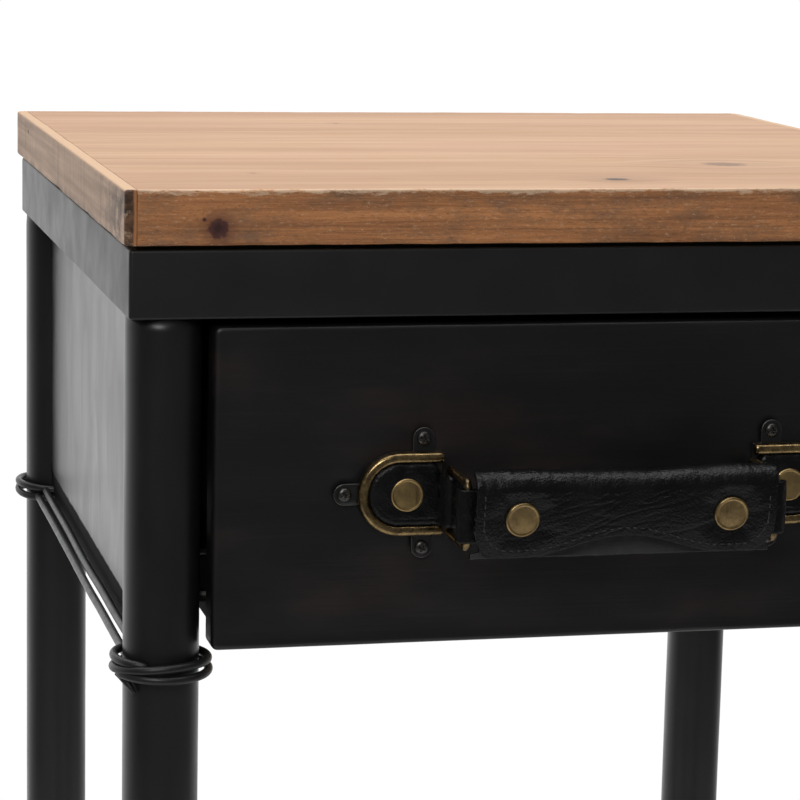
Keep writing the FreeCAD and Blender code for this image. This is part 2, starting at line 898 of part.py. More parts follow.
def build_top():
    names = ("front", "middle", "back")
    screws = at_bracket_places(top_screw)
    for number, name in enumerate(names):
        board = top_board(number)
        for screw in screws:
            board = board.cut(screw)
        save("top_board_" + name, board)
    lipping = top_lipping()
    save("top_lipping_left", lipping)
    save("top_lipping_right", mirrored(lipping))
    save("packing_strips", packing_strips())
    save("top_brackets", at_bracket_places(top_bracket))
    save("top_screws", screws)


def build_frame():
    middle_y = (front_y + back_y) / 2
    for turns, name in enumerate(("front", "right", "back", "left")):
        save("apron_" + name, apron_bar(0, middle_y, turns))
    for name, (x, y) in leg_centres().items():
        save("leg_" + name, leg(x, y))
        save("leg_wrap_" + name, leg_wrap(x, y))
    save("foot_caps", [foot_cap(x, y) for x, y in leg_centres().values()])
    side = side_panel()
    save("side_panel_left", side)
    save("side_panel_right", mirrored(side))
    save("back_panel", back_panel())
    wires = stretcher(False)
    save("stretcher_left", wires)
    save("stretcher_right", [mirrored(one) for one in wires])
    save("stretcher_back", stretcher(True))


def build_runners():
    channel = runner()
    save("runner_left", channel)
    save("runner_right", mirrored(channel))
    save("glide_strips", glide_strips())
    save("stop_lugs", stop_lugs())
    save("rear_crossbar", rear_crossbar())
    save("drawer_bumpers", drawer_bumpers())


def build_drawer():
    save("drawer_front_skin", drawer_front_skin())
    save("drawer_front_core", drawer_front_core())
    side = drawer_side()
    save("drawer_side_left", side)
    save("drawer_side_right", mirrored(side))
    save("drawer_back", drawer_back())
    save("drawer_bottom", bottom_panel_block())
    save("corner_blocks", corner_blocks())
    save("front_screws", front_screws())
    bar = rail()
    save("rail_left", bar)
    save("rail_right", mirrored(bar))
    left_screws = rail_screws_left()
    save("rail_screws", left_screws + [mirrored(screw) for screw in left_screws])
    save("stop_pins", stop_pins())


def build_handle():
    for name, maker in (("handle_plate", handle_plate), ("handle_rim", handle_rim),
                        ("leather_tab", leather_tab), ("handle_ring", handle_ring)):
        piece = maker()
        save(name + "_left", piece)
        save(name + "_right", mirrored(piece))
    save("tab_rivets", tab_rivets())
    save("plate_screws", plate_screws())
    save("grip_cover", grip_cover())
    save("grip_core", grip_core())
    save("grip_rivets", grip_rivets())
    save("grip_loop_left", grip_loop(ring_play))
    save("grip_loop_right", mirrored(grip_loop(open_pivot_play)))


os.makedirs("parts", exist_ok=True)
build_top()
build_frame()
build_runners()
build_drawer()
build_handle()
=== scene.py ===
import json
import math
import bmesh
import bpy
from mathutils import Matrix, Vector, noise


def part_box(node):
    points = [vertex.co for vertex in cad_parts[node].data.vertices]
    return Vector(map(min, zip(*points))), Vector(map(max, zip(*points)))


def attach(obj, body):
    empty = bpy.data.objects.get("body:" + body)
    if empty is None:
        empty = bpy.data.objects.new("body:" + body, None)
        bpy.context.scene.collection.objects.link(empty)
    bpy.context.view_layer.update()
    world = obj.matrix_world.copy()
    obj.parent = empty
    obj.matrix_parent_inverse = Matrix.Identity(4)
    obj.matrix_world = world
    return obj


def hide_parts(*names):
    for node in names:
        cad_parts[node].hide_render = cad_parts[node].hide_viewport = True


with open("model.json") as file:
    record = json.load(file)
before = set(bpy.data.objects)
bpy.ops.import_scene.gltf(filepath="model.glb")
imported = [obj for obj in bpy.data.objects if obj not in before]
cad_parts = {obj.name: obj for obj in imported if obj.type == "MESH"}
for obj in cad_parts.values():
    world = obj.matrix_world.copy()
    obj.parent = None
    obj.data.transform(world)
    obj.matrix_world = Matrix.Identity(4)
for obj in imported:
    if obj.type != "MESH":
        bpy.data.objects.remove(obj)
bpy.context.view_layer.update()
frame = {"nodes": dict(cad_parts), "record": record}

frameLow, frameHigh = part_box("apron_front")
frameCorner = Vector((frameLow.x, frameLow.y, frameHigh.z))   # front left top corner of the steel frame
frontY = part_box("drawer_front_skin")[0].y                     # face of the drawer front
handleZ = sum(corner.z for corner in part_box("tab_rivets")) / 2  # height of the handle's middle


cameraSettings = {
    "fromCorner": (-0.1458, -1.0099, 0.1271),   # from the frame's front left top corner
    "yaw": 13.625,                              # degrees to the right
    "pitch": -9.958,
    "roll": 1.243,
    "lens": 131.06,
}


def placeCamera():
    yaw, pitch, roll = (math.radians(cameraSettings[k]) for k in ("yaw", "pitch", "roll"))
    ahead = Vector((math.sin(yaw) * math.cos(pitch), math.cos(yaw) * math.cos(pitch), math.sin(pitch)))
    side = Vector((math.cos(yaw), -math.sin(yaw), 0))
    above = side.cross(ahead)
    tiltedSide = side * math.cos(roll) + above * math.sin(roll)
    tiltedUp = above * math.cos(roll) - side * math.sin(roll)
    data = bpy.data.cameras.new("tableCamera")
    data.lens = cameraSettings["lens"]
    data.clip_start = 0.05
    camera = bpy.data.objects.new("tableCamera", data)
    bpy.context.scene.collection.objects.link(camera)
    axes = Matrix((tiltedSide, tiltedUp, -ahead)).transposed().to_4x4()
    camera.matrix_world = Matrix.Translation(frameCorner + Vector(cameraSettings["fromCorner"])) @ axes
    bpy.context.scene.camera = camera


studio = {
    "seen": 1.02,                 # brightness of the backdrop that shows
    "glow": ((0.0, 0.115), (0.46, 0.115), (0.60, 0.36), (0.80, 0.85), (0.92, 1.3)),   # front to back
    "softboxes": (                # name, power, size, place, what it faces
        ("softboxAbove", 17.0, 1.5, (0, 0.1, 1.9), (0, 0.1, 0)),
        ("softboxFront", 10.0, 0.7, (-0.75, -1.5, 1.55), (0, 0, 0.5)),
    ),
    "floorRadius": 0.9,
    "floorColour": (0.86, 0.86, 0.85, 1),
}


def lightRoom():
    world = bpy.data.worlds.new("studio")
    bpy.context.scene.world = world
    world.use_nodes = True
    tree = world.node_tree
    tree.nodes.clear()
    output = tree.nodes.new("ShaderNodeOutputWorld")
    glow = tree.nodes.new("ShaderNodeBackground")
    shown = tree.nodes.new("ShaderNodeBackground")
    shown.inputs["Color"].default_value = (1, 1, 1, 1)
    shown.inputs["Strength"].default_value = studio["seen"]
    which = tree.nodes.new("ShaderNodeMixShader")
    path = tree.nodes.new("ShaderNodeLightPath")
    direction = tree.nodes.new("ShaderNodeTexCoord")
    parts = tree.nodes.new("ShaderNodeSeparateXYZ")
    ramp = tree.nodes.new("ShaderNodeValToRGB")
    shift = tree.nodes.new("ShaderNodeMapRange")
    shift.inputs["From Min"].default_value = -1
    tree.links.new(direction.outputs["Generated"], parts.inputs[0])
    tree.links.new(parts.outputs["Y"], shift.inputs["Value"])
    tree.links.new(shift.outputs[0], ramp.inputs[0])
    while len(ramp.color_ramp.elements) < len(studio["glow"]):
        ramp.color_ramp.elements.new(0.5)
    for element, (place, strength) in zip(ramp.color_ramp.elements, studio["glow"]):
        element.position = place
        element.color = (strength,) * 3 + (1,)
    tree.links.new(ramp.outputs[0], glow.inputs["Color"])
    tree.links.new(path.outputs["Is Camera Ray"], which.inputs[0])
    tree.links.new(glow.outputs[0], which.inputs[1])
    tree.links.new(shown.outputs[0], which.inputs[2])
    tree.links.new(which.outputs[0], output.inputs["Surface"])
    for name, power, size, place, aim in studio["softboxes"]:
        lamp = bpy.data.lights.new(name, "AREA")
        lamp.energy = power
        lamp.size = size
        box = bpy.data.objects.new(name, lamp)
        box.location = place
        toward = Vector(aim) - Vector(place)
        box.rotation_euler = toward.to_track_quat("-Z", "Y").to_euler()
        bpy.context.scene.collection.objects.link(box)


def layFloor():
    count = 96
    points = [(0, 0, 0)]
    for number in range(count):
        angle = 2 * math.pi * number / count
        points.append((studio["floorRadius"] * math.cos(angle), studio["floorRadius"] * math.sin(angle), 0))
    faces = [(0, 1 + number, 1 + (number + 1) % count) for number in range(count)]
    mesh = bpy.data.meshes.new("floor")
    mesh.from_pydata(points, [], faces)
    floor = bpy.data.objects.new("floor", mesh)
    bpy.context.scene.collection.objects.link(floor)
    material = bpy.data.materials.new("paleFloor")
    material.use_nodes = True
    shader = material.node_tree.nodes["Principled BSDF"]
    shader.inputs["Base Color"].default_value = studio["floorColour"]
    shader.inputs["Roughness"].default_value = 0.7
    mesh.materials.append(material)


print("camera and studio")
bpy.context.scene.view_settings.view_transform = "Standard"
placeCamera()
lightRoom()
layFloor()


class Surface:
    # a material under construction: add nodes, join them, read the shader
    def __init__(self, name):
        self.material = bpy.data.materials.new(name)
        self.material.use_nodes = True
        self.tree = self.material.node_tree
        self.shader = self.tree.nodes["Principled BSDF"]
        self.place = self.add("ShaderNodeTexCoord").outputs["Object"]

    def add(self, kind, values=None, **settings):
        node = self.tree.nodes.new(kind)
        for key, value in settings.items():
            setattr(node, key, value)
        for key, value in (values or {}).items():
            self.feed(node.inputs[key], value)
        return node

    def feed(self, socket, value):
        if isinstance(value, bpy.types.NodeSocket):
            self.tree.links.new(value, socket)
        else:
            socket.default_value = value

    def set(self, **values):
        for key, value in values.items():
            name = {"colour": "Base Color", "roughness": "Roughness", "metallic": "Metallic",
                    "normal": "Normal", "specular": "Specular IOR Level"}[key]
            self.feed(self.shader.inputs[name], value)

    def stretch(self, scale, source=None):
        return self.add("ShaderNodeMapping", {"Vector": source or self.place, "Scale": scale}).outputs[0]

    def grain(self, scale, detail, roughness=0.5, distortion=0.0, source=None):
        # noise with its own scale, in waves per metre, along x, y and z
        return self.add("ShaderNodeTexNoise", {"Vector": self.stretch(scale, source), "Scale": 1.0,
                                               "Detail": detail, "Roughness": roughness,
                                               "Distortion": distortion}).outputs[0]

    def range(self, value, low, high, toLow=0.0, toHigh=1.0, smooth=False):
        kind = "SMOOTHSTEP" if smooth else "LINEAR"
        return self.add("ShaderNodeMapRange", {"Value": value, "From Min": low, "From Max": high,
                                               "To Min": toLow, "To Max": toHigh},
                        interpolation_type=kind).outputs[0]

    def math(self, operation, first, second=0.0):
        return self.add("ShaderNodeMath", {0: first, 1: second}, operation=operation).outputs[0]

    def distance(self, first, second):
        squares = [self.math("MULTIPLY", side, side) for side in (first, second)]
        return self.math("SQRT", self.math("ADD", *squares))

    def ragged(self, value, scale, swing, detail=2):
        # the value with its outline made uneven
        return self.math("ADD", value, self.range(self.grain((scale,) * 3, detail), 0, 1, -swing, swing))

    def mix(self, amount, first, second):
        node = self.add("ShaderNodeMix", data_type="RGBA")
        self.feed(node.inputs[0], amount)
        self.feed(node.inputs[6], first)
        self.feed(node.inputs[7], second)
        return node.outputs[2]

    def axis(self, name):
        return self.add("ShaderNodeSeparateXYZ", {0: self.place}).outputs[name]

    def bump(self, height, distance, strength, onto=None):
        node = self.add("ShaderNodeBump", {"Height": height, "Distance": distance, "Strength": strength})
        if onto is not None:
            self.feed(node.inputs["Normal"], onto)
        return node.outputs[0]


def rgb(red, green, blue):
    return (red, green, blue, 1)


topWood = {
    "pale": rgb(0.62, 0.37, 0.205),
    "tan": rgb(0.47, 0.250, 0.122),
    "stain": rgb(0.72, 0.310, 0.120),
    "stainDeep": rgb(0.33, 0.135, 0.056),
    "worn": rgb(0.86, 0.62, 0.42),
    "streak": rgb(0.42, 0.215, 0.105),
    "blush": rgb(0.56, 0.30, 0.20),
    "greyed": rgb(0.25, 0.145, 0.090),
    "line": rgb(0.17, 0.075, 0.035),
    "scuff": rgb(0.13, 0.070, 0.040),
    "knot": rgb(0.035, 0.020, 0.014),
    "knotHalo": rgb(0.20, 0.075, 0.040),
    "knotRing": rgb(0.105, 0.040, 0.032),
    "knotCore": rgb(0.045, 0.018, 0.018),
    "specular": 0.28,
    "bandsPerMetre": 34.0,
    "streaksPerMetre": 520.0,
    "roughness": 0.52,
    "edgeTop": 0.600,
    "edgeKnots": (                  # x, z, radius, how far its brown halo reaches
        (-0.1436, 0.5862, 0.0037, 2.4),
        (-0.1487, 0.5894, 0.0006, 2.0),
        (0.1210, 0.5915, 0.0008, 3.0),
    ),
    "knots": (                      # x, y from the front edge, radius, darkness
        (0.0136, 0.0338, 0.0050, 0.95),
        (0.0769, 0.0922, 0.0090, 0.58),
        (-0.0394, 0.2882, 0.0014, 0.8),
        (-0.1205, 0.0588, 0.0009, 0.8),
    ),
}


def woodTopMaterial():
    w = topWood
    s = Surface("topWood")
    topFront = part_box("top_board_front")[0]
    x, y, z = (s.axis(name) for name in ("X", "Y", "Z"))
    waver = s.grain((5, 9, 9), 2)
    yWarped = s.math("ADD", y, s.range(waver, 0, 1, -0.006, 0.006))
    dark = None
    for kx, ky, radius, darkness in w["knots"]:
        dx = s.math("MULTIPLY", s.math("SUBTRACT", x, kx), 0.8)
        dy = s.math("SUBTRACT", y, topFront.y + ky)
        away = s.distance(dx, dy)
        near = s.range(away, radius, radius * 4.5, 1, 0, smooth=True)
        yWarped = s.math("ADD", yWarped, s.math("MULTIPLY", near, s.math("MULTIPLY", dy, -0.8)))
        spot = s.range(s.ragged(away, 400, radius * 0.35), radius * 0.45, radius * 1.15, darkness, 0, smooth=True)
        halo = s.math("MULTIPLY", near, darkness * 0.16)
        both = s.math("MAXIMUM", spot, halo)
        dark = both if dark is None else s.math("MAXIMUM", dark, both)
    along = s.add("ShaderNodeCombineXYZ", {0: x, 1: yWarped, 2: z}).outputs[0]
    bands = s.grain((2.2, w["bandsPerMetre"], w["bandsPerMetre"]), 6, 0.68, source=along)
    streaks = s.grain((9, w["streaksPerMetre"], w["streaksPerMetre"]), 3, 0.6, source=along)
    clouds = s.grain((7, 14, 14), 2)
    colour = s.mix(s.range(bands, 0.38, 0.62), w["tan"], w["pale"])
    colour = s.mix(s.range(streaks, 0.35, 0.70, 0.0, 0.50), colour, w["streak"])
    colour = s.mix(s.range(clouds, 0.45, 0.75, 0.0, 0.30), colour, w["blush"])
    # the front edge is stained brown
    rough = s.range(s.grain((60, 60, 200), 3), 0, 1, -0.0006, 0.0006)
    depth = s.math("SUBTRACT", s.math("ADD", y, rough), topFront.y)
    frontEdge = s.range(depth, 0.0009, 0.0021, 1, 0, smooth=True)
    stainGrain = s.grain((9, 60, 300), 6, 0.72)
    stain = s.mix(s.range(stainGrain, 0.36, 0.66), w["stain"], w["stainDeep"])
    patches = s.grain((24, 20, 60), 6, 0.75)
    stain = s.mix(s.range(patches, 0.47, 0.64, 0, 0.78), stain, w["greyed"])
    lines = s.grain((10, 60, 900), 3, 0.6)
    stain = s.mix(s.range(lines, 0.55, 0.72, 0, 0.55), stain, w["line"])
    scuffs = s.grain((420, 420, 1100), 4, 0.75)
    stain = s.mix(s.range(scuffs, 0.56, 0.68, 0, 0.55), stain, w["scuff"])
    stain = s.mix(s.range(scuffs, 0.42, 0.32, 0, 0.45), stain, w["worn"])
    # the edge's knots: one with a speck beside it near the left end, and a speck toward the right end
    for kx, kz, radius, reach in w["edgeKnots"]:
        dx, dz = s.math("SUBTRACT", x, kx), s.math("SUBTRACT", z, kz)
        away = s.ragged(s.distance(dx, dz), 500, radius * 0.4)
        around = s.range(away, radius, radius * reach, 0.62, 0, smooth=True)
        stain = s.mix(around, stain, w["knotHalo"])
        ring = s.range(away, radius * 0.75, radius * 1.15, 1, 0, smooth=True)
        stain = s.mix(ring, stain, w["knotRing"])
        core = s.range(away, radius * 0.2, radius * 0.8, 0.85, 0, smooth=True)
        stain = s.mix(core, stain, w["knotCore"])
    # along the top of the edge the stain is rubbed through to pale wood
    rubbed = s.grain((130, 60, 420), 5, 0.75)
    nearTop = s.range(z, w["edgeTop"] - 0.0030, w["edgeTop"] - 0.0004, 0, 1)
    worn = s.range(s.math("ADD", s.math("MULTIPLY", nearTop, 0.30), rubbed), 0.65, 0.78, 0, 0.75)
    stain = s.mix(worn, stain, w["worn"])
    colour = s.mix(frontEdge, colour, stain)
    colour = s.mix(dark, colour, w["knot"])
    height = s.math("ADD", s.math("MULTIPLY", streaks, 0.6), s.math("MULTIPLY", bands, 0.4))
    edgeRelief = s.bump(s.math("MULTIPLY", s.math("ADD", scuffs, stainGrain), frontEdge), 0.0006, 0.7)
    s.set(colour=colour, specular=w["specular"],
          roughness=s.range(streaks, 0.3, 0.7, w["roughness"] - 0.05, w["roughness"] + 0.08),
          normal=s.bump(height, 0.0003, 0.6, onto=edgeRelief))
    return s.material


lippingWood = {
    "face": rgb(0.66, 0.45, 0.315),
    "faceDark": rgb(0.36, 0.225, 0.145),
    "stained": rgb(0.075, 0.045, 0.032),
    "top": rgb(0.66, 0.43, 0.26),
    "endGrain": rgb(0.20, 0.105, 0.060),
    "endDark": rgb(0.060, 0.034, 0.022),
    "endRubbed": rgb(0.62, 0.44, 0.30),
    "endStained": rgb(0.50, 0.215, 0.090),
    "wormHole": rgb(0.02, 0.015, 0.012),
    "specular": 0.25,
    "roughness": 0.6,
}


def lippingMaterial():
    w = lippingWood
    s = Surface("lippingWood")
    low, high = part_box("top_lipping_left")
    y, z = s.axis("Y"), s.axis("Z")
    along = s.grain((300, 5, 180), 4, 0.6)
    marks = s.grain((40, 160, 9), 4, 0.65)
    face = s.mix(s.range(along, 0.3, 0.7), w["face"], w["faceDark"])
    face = s.mix(s.range(marks, 0.52, 0.72, 0, 0.65), face, w["faceDark"])
    # dark stains gather near the front end and along the lower edge
    front = s.range(y, low.y, low.y + 0.085, 1, 0.12, smooth=True)
    lower = s.range(z, low.z, low.z + 0.006, 0.55, 0, smooth=True)
    blots = s.grain((70, 55, 95), 5, 0.72)
    amount = s.math("MULTIPLY", s.range(blots, 0.40, 0.57), s.math("MAXIMUM", front, lower))
    face = s.mix(s.math("MULTIPLY", amount, 0.85), face, w["stained"])
    onTop = s.range(z, high.z - 0.0011, high.z - 0.0003, 0, 1, smooth=True)
    colour = s.mix(onTop, face, w["top"])
    atEnd = s.range(y, low.y + 0.0010, low.y + 0.0022, 1, 0, smooth=True)
    rings = s.grain((220, 60, 320), 4, 0.6)
    endColour = s.mix(s.range(rings, 0.35, 0.65), w["endGrain"], w["endDark"])
    rubbed = s.grain((180, 90, 180), 4, 0.7)
    endColour = s.mix(s.range(rubbed, 0.58, 0.68, 0, 0.8), endColour, w["endRubbed"])
    across = s.math("ABSOLUTE", s.axis("X"))
    wander = s.range(s.grain((60, 60, 90), 3), 0, 1, -0.0007, 0.0007)
    outerX = -low.x
    outer = s.range(s.math("ADD", across, wander), outerX - 0.0036, outerX - 0.0028, 0, 1, smooth=True)
    endColour = s.mix(outer, w["endStained"], endColour)
    colour = s.mix(atEnd, colour, endColour)
    holes = s.add("ShaderNodeTexVoronoi", {"Vector": s.stretch((0, 26, 60)), "Scale": 1.0},
                  feature="F1").outputs["Distance"]
    colour = s.mix(s.range(holes, 0.045, 0.075, 0.85, 0), colour, w["wormHole"])
    s.set(colour=colour, roughness=w["roughness"], specular=w["specular"],
          normal=s.bump(s.math("ADD", marks, blots), 0.0006, 0.6))
    return s.material


blackPaint = {
    "colour": rgb(0.0085, 0.0085, 0.0088),
    "worn": rgb(0.016, 0.0148, 0.014),
}


def blackPaintMaterial(name, roughness, streak=(60, 60, 60), grain=0.00005, tint=0.3):
    s = Surface(name)
    cloud = s.grain((18, 18, 18), 3)
    line = s.grain(streak, 4, 0.6)
    colour = s.mix(s.range(cloud, 0.45, 0.75, 0, tint), blackPaint["colour"], blackPaint["worn"])
    s.set(colour=colour, roughness=s.range(line, 0.25, 0.75, roughness - 0.07, roughness + 0.07),
          normal=s.bump(line, grain, 0.8))
    return s.material


def panelMaterial(name, node, axis):
    # the pressed field is glossy; the lip round it stayed matt
    s = Surface(name)
    low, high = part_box(node)
    along = {"X": 0, "Y": 1}[axis]
    middle, half = (low[along] + high[along]) / 2, (high[along] - low[along]) / 2
    corner, field = 0.012, low.z + 0.0125
    cloud = s.grain((18, 18, 18), 3)
    line = s.grain((48, 48, 17), 5, 0.6, 0.6)
    spots = s.grain((120, 120, 45), 4, 0.7)
    colour = s.mix(s.range(cloud, 0.45, 0.75, 0, 0.3), blackPaint["colour"], blackPaint["worn"])
    side = s.math("ABSOLUTE", s.math("SUBTRACT", s.axis(axis), middle))
    side = s.math("MAXIMUM", s.math("SUBTRACT", side, half - corner), 0.0)
    down = s.math("MAXIMUM", s.math("SUBTRACT", field + corner, s.axis("Z")), 0.0)
    away = s.distance(side, down)
    away = s.math("ADD", away, s.range(spots, 0, 1, -0.0006, 0.0006))
    lip = s.range(away, corner - 0.0004, corner + 0.0006, 0, 1, smooth=True)
    gloss = s.range(line, 0.25, 0.75, 0.29, 0.40)
    s.set(colour=colour, specular=s.range(lip, 0, 1, 0.5, 0.03),
          roughness=s.math("ADD", gloss, s.math("MULTIPLY", lip, 0.40)),
          normal=s.bump(s.math("ADD", line, s.math("MULTIPLY", spots, 0.5)), 0.00010, 0.7))
    return s.material


drawerSkin = {
    "colour": rgb(0.0060, 0.0060, 0.0063),
    "brownTint": rgb(0.024, 0.0115, 0.0085),
    "brushMark": rgb(0.020, 0.019, 0.019),
    "roughness": 0.40,
    "brushPerMetre": 900.0,
}


def drawerSkinMaterial():
    d = drawerSkin
    s = Surface("drawerSheet")
    brush = s.grain((14, d["brushPerMetre"], d["brushPerMetre"]), 4, 0.65)
    patches = s.grain((12, 12, 30), 4, 0.6)
    colour = s.mix(s.range(patches, 0.50, 0.74, 0, 0.8), d["colour"], d["brownTint"])
    colour = s.mix(s.range(brush, 0.55, 0.8, 0, 0.5), colour, d["brushMark"])
    waves = s.grain((16, 16, 22), 1.5)
    normal = s.bump(waves, 0.006, 0.45)
    s.set(colour=colour, roughness=s.range(patches, 0.3, 0.7, d["roughness"] - 0.08, d["roughness"] + 0.08),
          normal=s.bump(brush, 0.00012, 0.6, onto=normal))
    return s.material


brass = {
    "colour": rgb(0.62, 0.43, 0.185),
    "dull": rgb(0.34, 0.235, 0.115),
    "hollow": rgb(0.055, 0.043, 0.030),
}


def brassMaterial(name, roughness, brushed=(300, 40, 300), age=0.0, black=0.0):
    # age browns the whole surface, black is the dark left in the hollows; turned nearly full, as on the rings, it
    # is also painted shade
    s = Surface(name)
    tarnish = s.grain((160, 160, 160), 4, 0.6)
    lines = s.grain(brushed, 4, 0.6)
    dulled = s.range(tarnish, 0.4, 0.7, min(0.05 + age, 1), min(0.7 + age, 1))
    colour = s.mix(dulled, brass["colour"], brass["dull"])
    blots = s.grain((420, 420, 420), 4, 0.7)
    colour = s.mix(s.range(blots, 0.40, 0.62, black * 0.35, black), colour, brass["hollow"])
    s.set(colour=colour, metallic=1.0, normal=s.bump(lines, 0.00004, 0.7),
          roughness=s.range(lines, 0.3, 0.7, roughness - 0.08, roughness + 0.10))
    return s.material


leather = {
    "colour": rgb(0.0036, 0.0036, 0.0038),
    "roughness": 0.31,
    "specular": 0.27,
    "pebblesPerMetre": 1150.0,
}


def leatherMaterial(name="blackLeather", colour=None, roughness=None, pebble=0.00022):
    s = Surface(name)
    cells = s.add("ShaderNodeTexVoronoi", {"Vector": s.stretch((1, 1, 1)), "Scale": leather["pebblesPerMetre"]},
                  feature="F1").outputs["Distance"]
    fine = s.grain((2600, 2600, 2600), 3, 0.6)
    worn = s.grain((70, 70, 70), 4, 0.6)
    base = colour or leather["colour"]
    shade = s.mix(s.range(worn, 0.5, 0.75, 0, 0.6), base, rgb(*(v * 1.9 for v in base[:3])))
    rough = roughness or leather["roughness"]
    height = s.math("ADD", s.math("MULTIPLY", cells, 0.7), s.math("MULTIPLY", fine, 0.3))
    s.set(colour=shade, specular=leather["specular"], roughness=s.range(worn, 0.3, 0.7, rough - 0.06, rough + 0.10),
          normal=s.bump(height, pebble, 0.8))
    return s.material


def plainWoodMaterial(name, light, dark, along="Y", bands=60.0, roughness=0.5):
    s = Surface(name)
    scale = {"X": (4, bands, bands), "Y": (bands, 4, bands), "Z": (bands, bands, 4)}[along]
    grain = s.grain(scale, 5, 0.6, 0.4)
    fine = s.grain(tuple(v * 7 for v in scale), 3, 0.6)
    colour = s.mix(s.range(grain, 0.35, 0.65), light, dark)
    colour = s.mix(s.range(fine, 0.5, 0.8, 0, 0.4), colour, rgb(*(v * 0.6 for v in dark[:3])))
    s.set(colour=colour, roughness=roughness, normal=s.bump(fine, 0.0002, 0.5))
    return s.material


def mattMaterial(name, colour, roughness, scale=600.0, depth=0.0001):
    s = Surface(name)
    grain = s.grain((scale,) * 3, 3)
    shade = s.mix(s.range(grain, 0.4, 0.7, 0, 0.35), colour, rgb(*(v * 0.6 for v in colour[:3])))
    s.set(colour=shade, roughness=roughness, normal=s.bump(grain, depth, 0.6))
    return s.material


def steelMaterial(name, colour, roughness):
    s = Surface(name)
    lines = s.grain((500, 500, 500), 4)
    shade = s.mix(s.range(lines, 0.4, 0.7, 0, 0.6), colour, rgb(*(v * 0.55 for v in colour[:3])))
    s.set(colour=shade, metallic=1.0, roughness=s.range(lines, 0.3, 0.7, roughness - 0.08, roughness + 0.1),
          normal=s.bump(lines, 0.00003, 0.6))
    return s.material


print("materials")
finish = {
    "wood": woodTopMaterial(),
    "lipping": lippingMaterial(),
    "apron": blackPaintMaterial("apronPaint", 0.46, (45, 45, 45), 0.00002),
    "legs": blackPaintMaterial("legPaint", 0.36, (90, 90, 25), 0.00004),
    "panel": panelMaterial("sidePanelPaint", "side_panel_left", "Y"),
    "panelBack": panelMaterial("backPanelPaint", "back_panel", "X"),
    "wire": blackPaintMaterial("wirePaint", 0.42, (200, 200, 200), 0.00005),
    "plate": blackPaintMaterial("platePaint", 0.30, (300, 300, 300), 0.00005),
    "inner": blackPaintMaterial("innerSteelPaint", 0.5, (80, 80, 80), 0.00005),
    "drawer": drawerSkinMaterial(),
    "rim": brassMaterial("rimBrass", 0.27, age=0.35, black=0.70),
    "rivet": brassMaterial("rivetBrass", 0.36, (900, 900, 60), age=0.0, black=0.30),
    "gripRivet": brassMaterial("gripRivetBrass", 0.34, (900, 900, 60), age=0.25, black=0.36),
    # the rings' brass is nearly all dark: partly tarnish, partly painted shade for the loop's shadow they sit in
    "ring": brassMaterial("ringBrass", 0.30, age=0.6, black=0.92),
    "leather": leatherMaterial(),
    "flesh": leatherMaterial("gripBackLeather", rgb(0.050, 0.049, 0.049), 0.6, 0.00010),
    "thread": mattMaterial("thread", rgb(0.034, 0.032, 0.031), 0.55, 3000, 0.00004),
    # the plates' bevels: worn steel that also paints the light outline of a highlight along the lug edges
    "edgeWearAndHighlight": steelMaterial("plateEdgeWearAndHighlight", rgb(0.20, 0.19, 0.17), 0.42),
    "screw": steelMaterial("darkScrewSteel", rgb(0.10, 0.095, 0.09), 0.34),
    "steel": steelMaterial("zincSteel", rgb(0.55, 0.55, 0.56), 0.35),
    "plywood": plainWoodMaterial("drawerPlywood", rgb(0.55, 0.39, 0.24), rgb(0.42, 0.28, 0.16)),
    # drawer box sides and back: a dark stain that is also painted shade, for the shadowed gap beside the front legs
    "drawerSide": blackPaintMaterial("drawerBoxStainAndShade", 0.6, (60, 12, 60), 0.00012),
    "rail": blackPaintMaterial("railStain", 0.5, (80, 10, 80), 0.0001),
    "beech": plainWoodMaterial("railBeech", rgb(0.50, 0.31, 0.17), rgb(0.38, 0.22, 0.11), "Y", 90),
    "nylon": mattMaterial("glideNylon", rgb(0.70, 0.69, 0.64), 0.45, 400, 0.00003),
    "rubber": mattMaterial("footRubber", rgb(0.014, 0.014, 0.014), 0.75, 900, 0.00008),
    "felt": mattMaterial("packingFelt", rgb(0.012, 0.011, 0.010), 0.95, 2500, 0.0002),
    "cord": mattMaterial("gripCord", rgb(0.30, 0.25, 0.19), 0.9, 1500, 0.0003),
}


def paintNode(name, key):
    node = frame["nodes"][name]
    node.data.materials.clear()
    node.data.materials.append(finish[key])


nodeFinish = {
    "apron": ("apron_front", "apron_back", "apron_left", "apron_right"),
    "legs": ("leg_front_left", "leg_front_right", "leg_back_left", "leg_back_right"),
    "panel": ("side_panel_left", "side_panel_right"),
    "panelBack": ("back_panel",),
    "inner": ("runner_left", "runner_right", "rear_crossbar", "stop_lugs", "top_brackets"),
    "plywood": ("drawer_front_core", "drawer_side_left", "drawer_side_right", "drawer_back",
                "drawer_bottom", "corner_blocks"),
    "beech": ("rail_left", "rail_right"),
    "nylon": ("glide_strips",),
    "rubber": ("foot_caps", "drawer_bumpers"),
    "felt": ("packing_strips",),
    "steel": ("top_screws", "front_screws", "rail_screws", "stop_pins"),
    "plate": ("handle_plate_left", "handle_plate_right"),
    "wire": ("leg_wrap_front_left", "leg_wrap_front_right", "leg_wrap_back_left", "leg_wrap_back_right",
             "stretcher_left", "stretcher_right", "stretcher_back"),
    "wood": ("top_board_front", "top_board_middle", "top_board_back"),
    "lipping": ("top_lipping_left", "top_lipping_right"),
    "drawer": ("drawer_front_skin",),
    "rim": ("handle_rim_left", "handle_rim_right"),
    "ring": ("handle_ring_left", "handle_ring_right"),
    "rivet": ("tab_rivets", "grip_rivets"),
    "screw": ("plate_screws",),
    "leather": ("leather_tab_left", "leather_tab_right", "grip_cover", "grip_loop_left", "grip_loop_right"),
    "cord": ("grip_core",),
}
for key, names in nodeFinish.items():
    for name in names:
        paintNode(name, key)


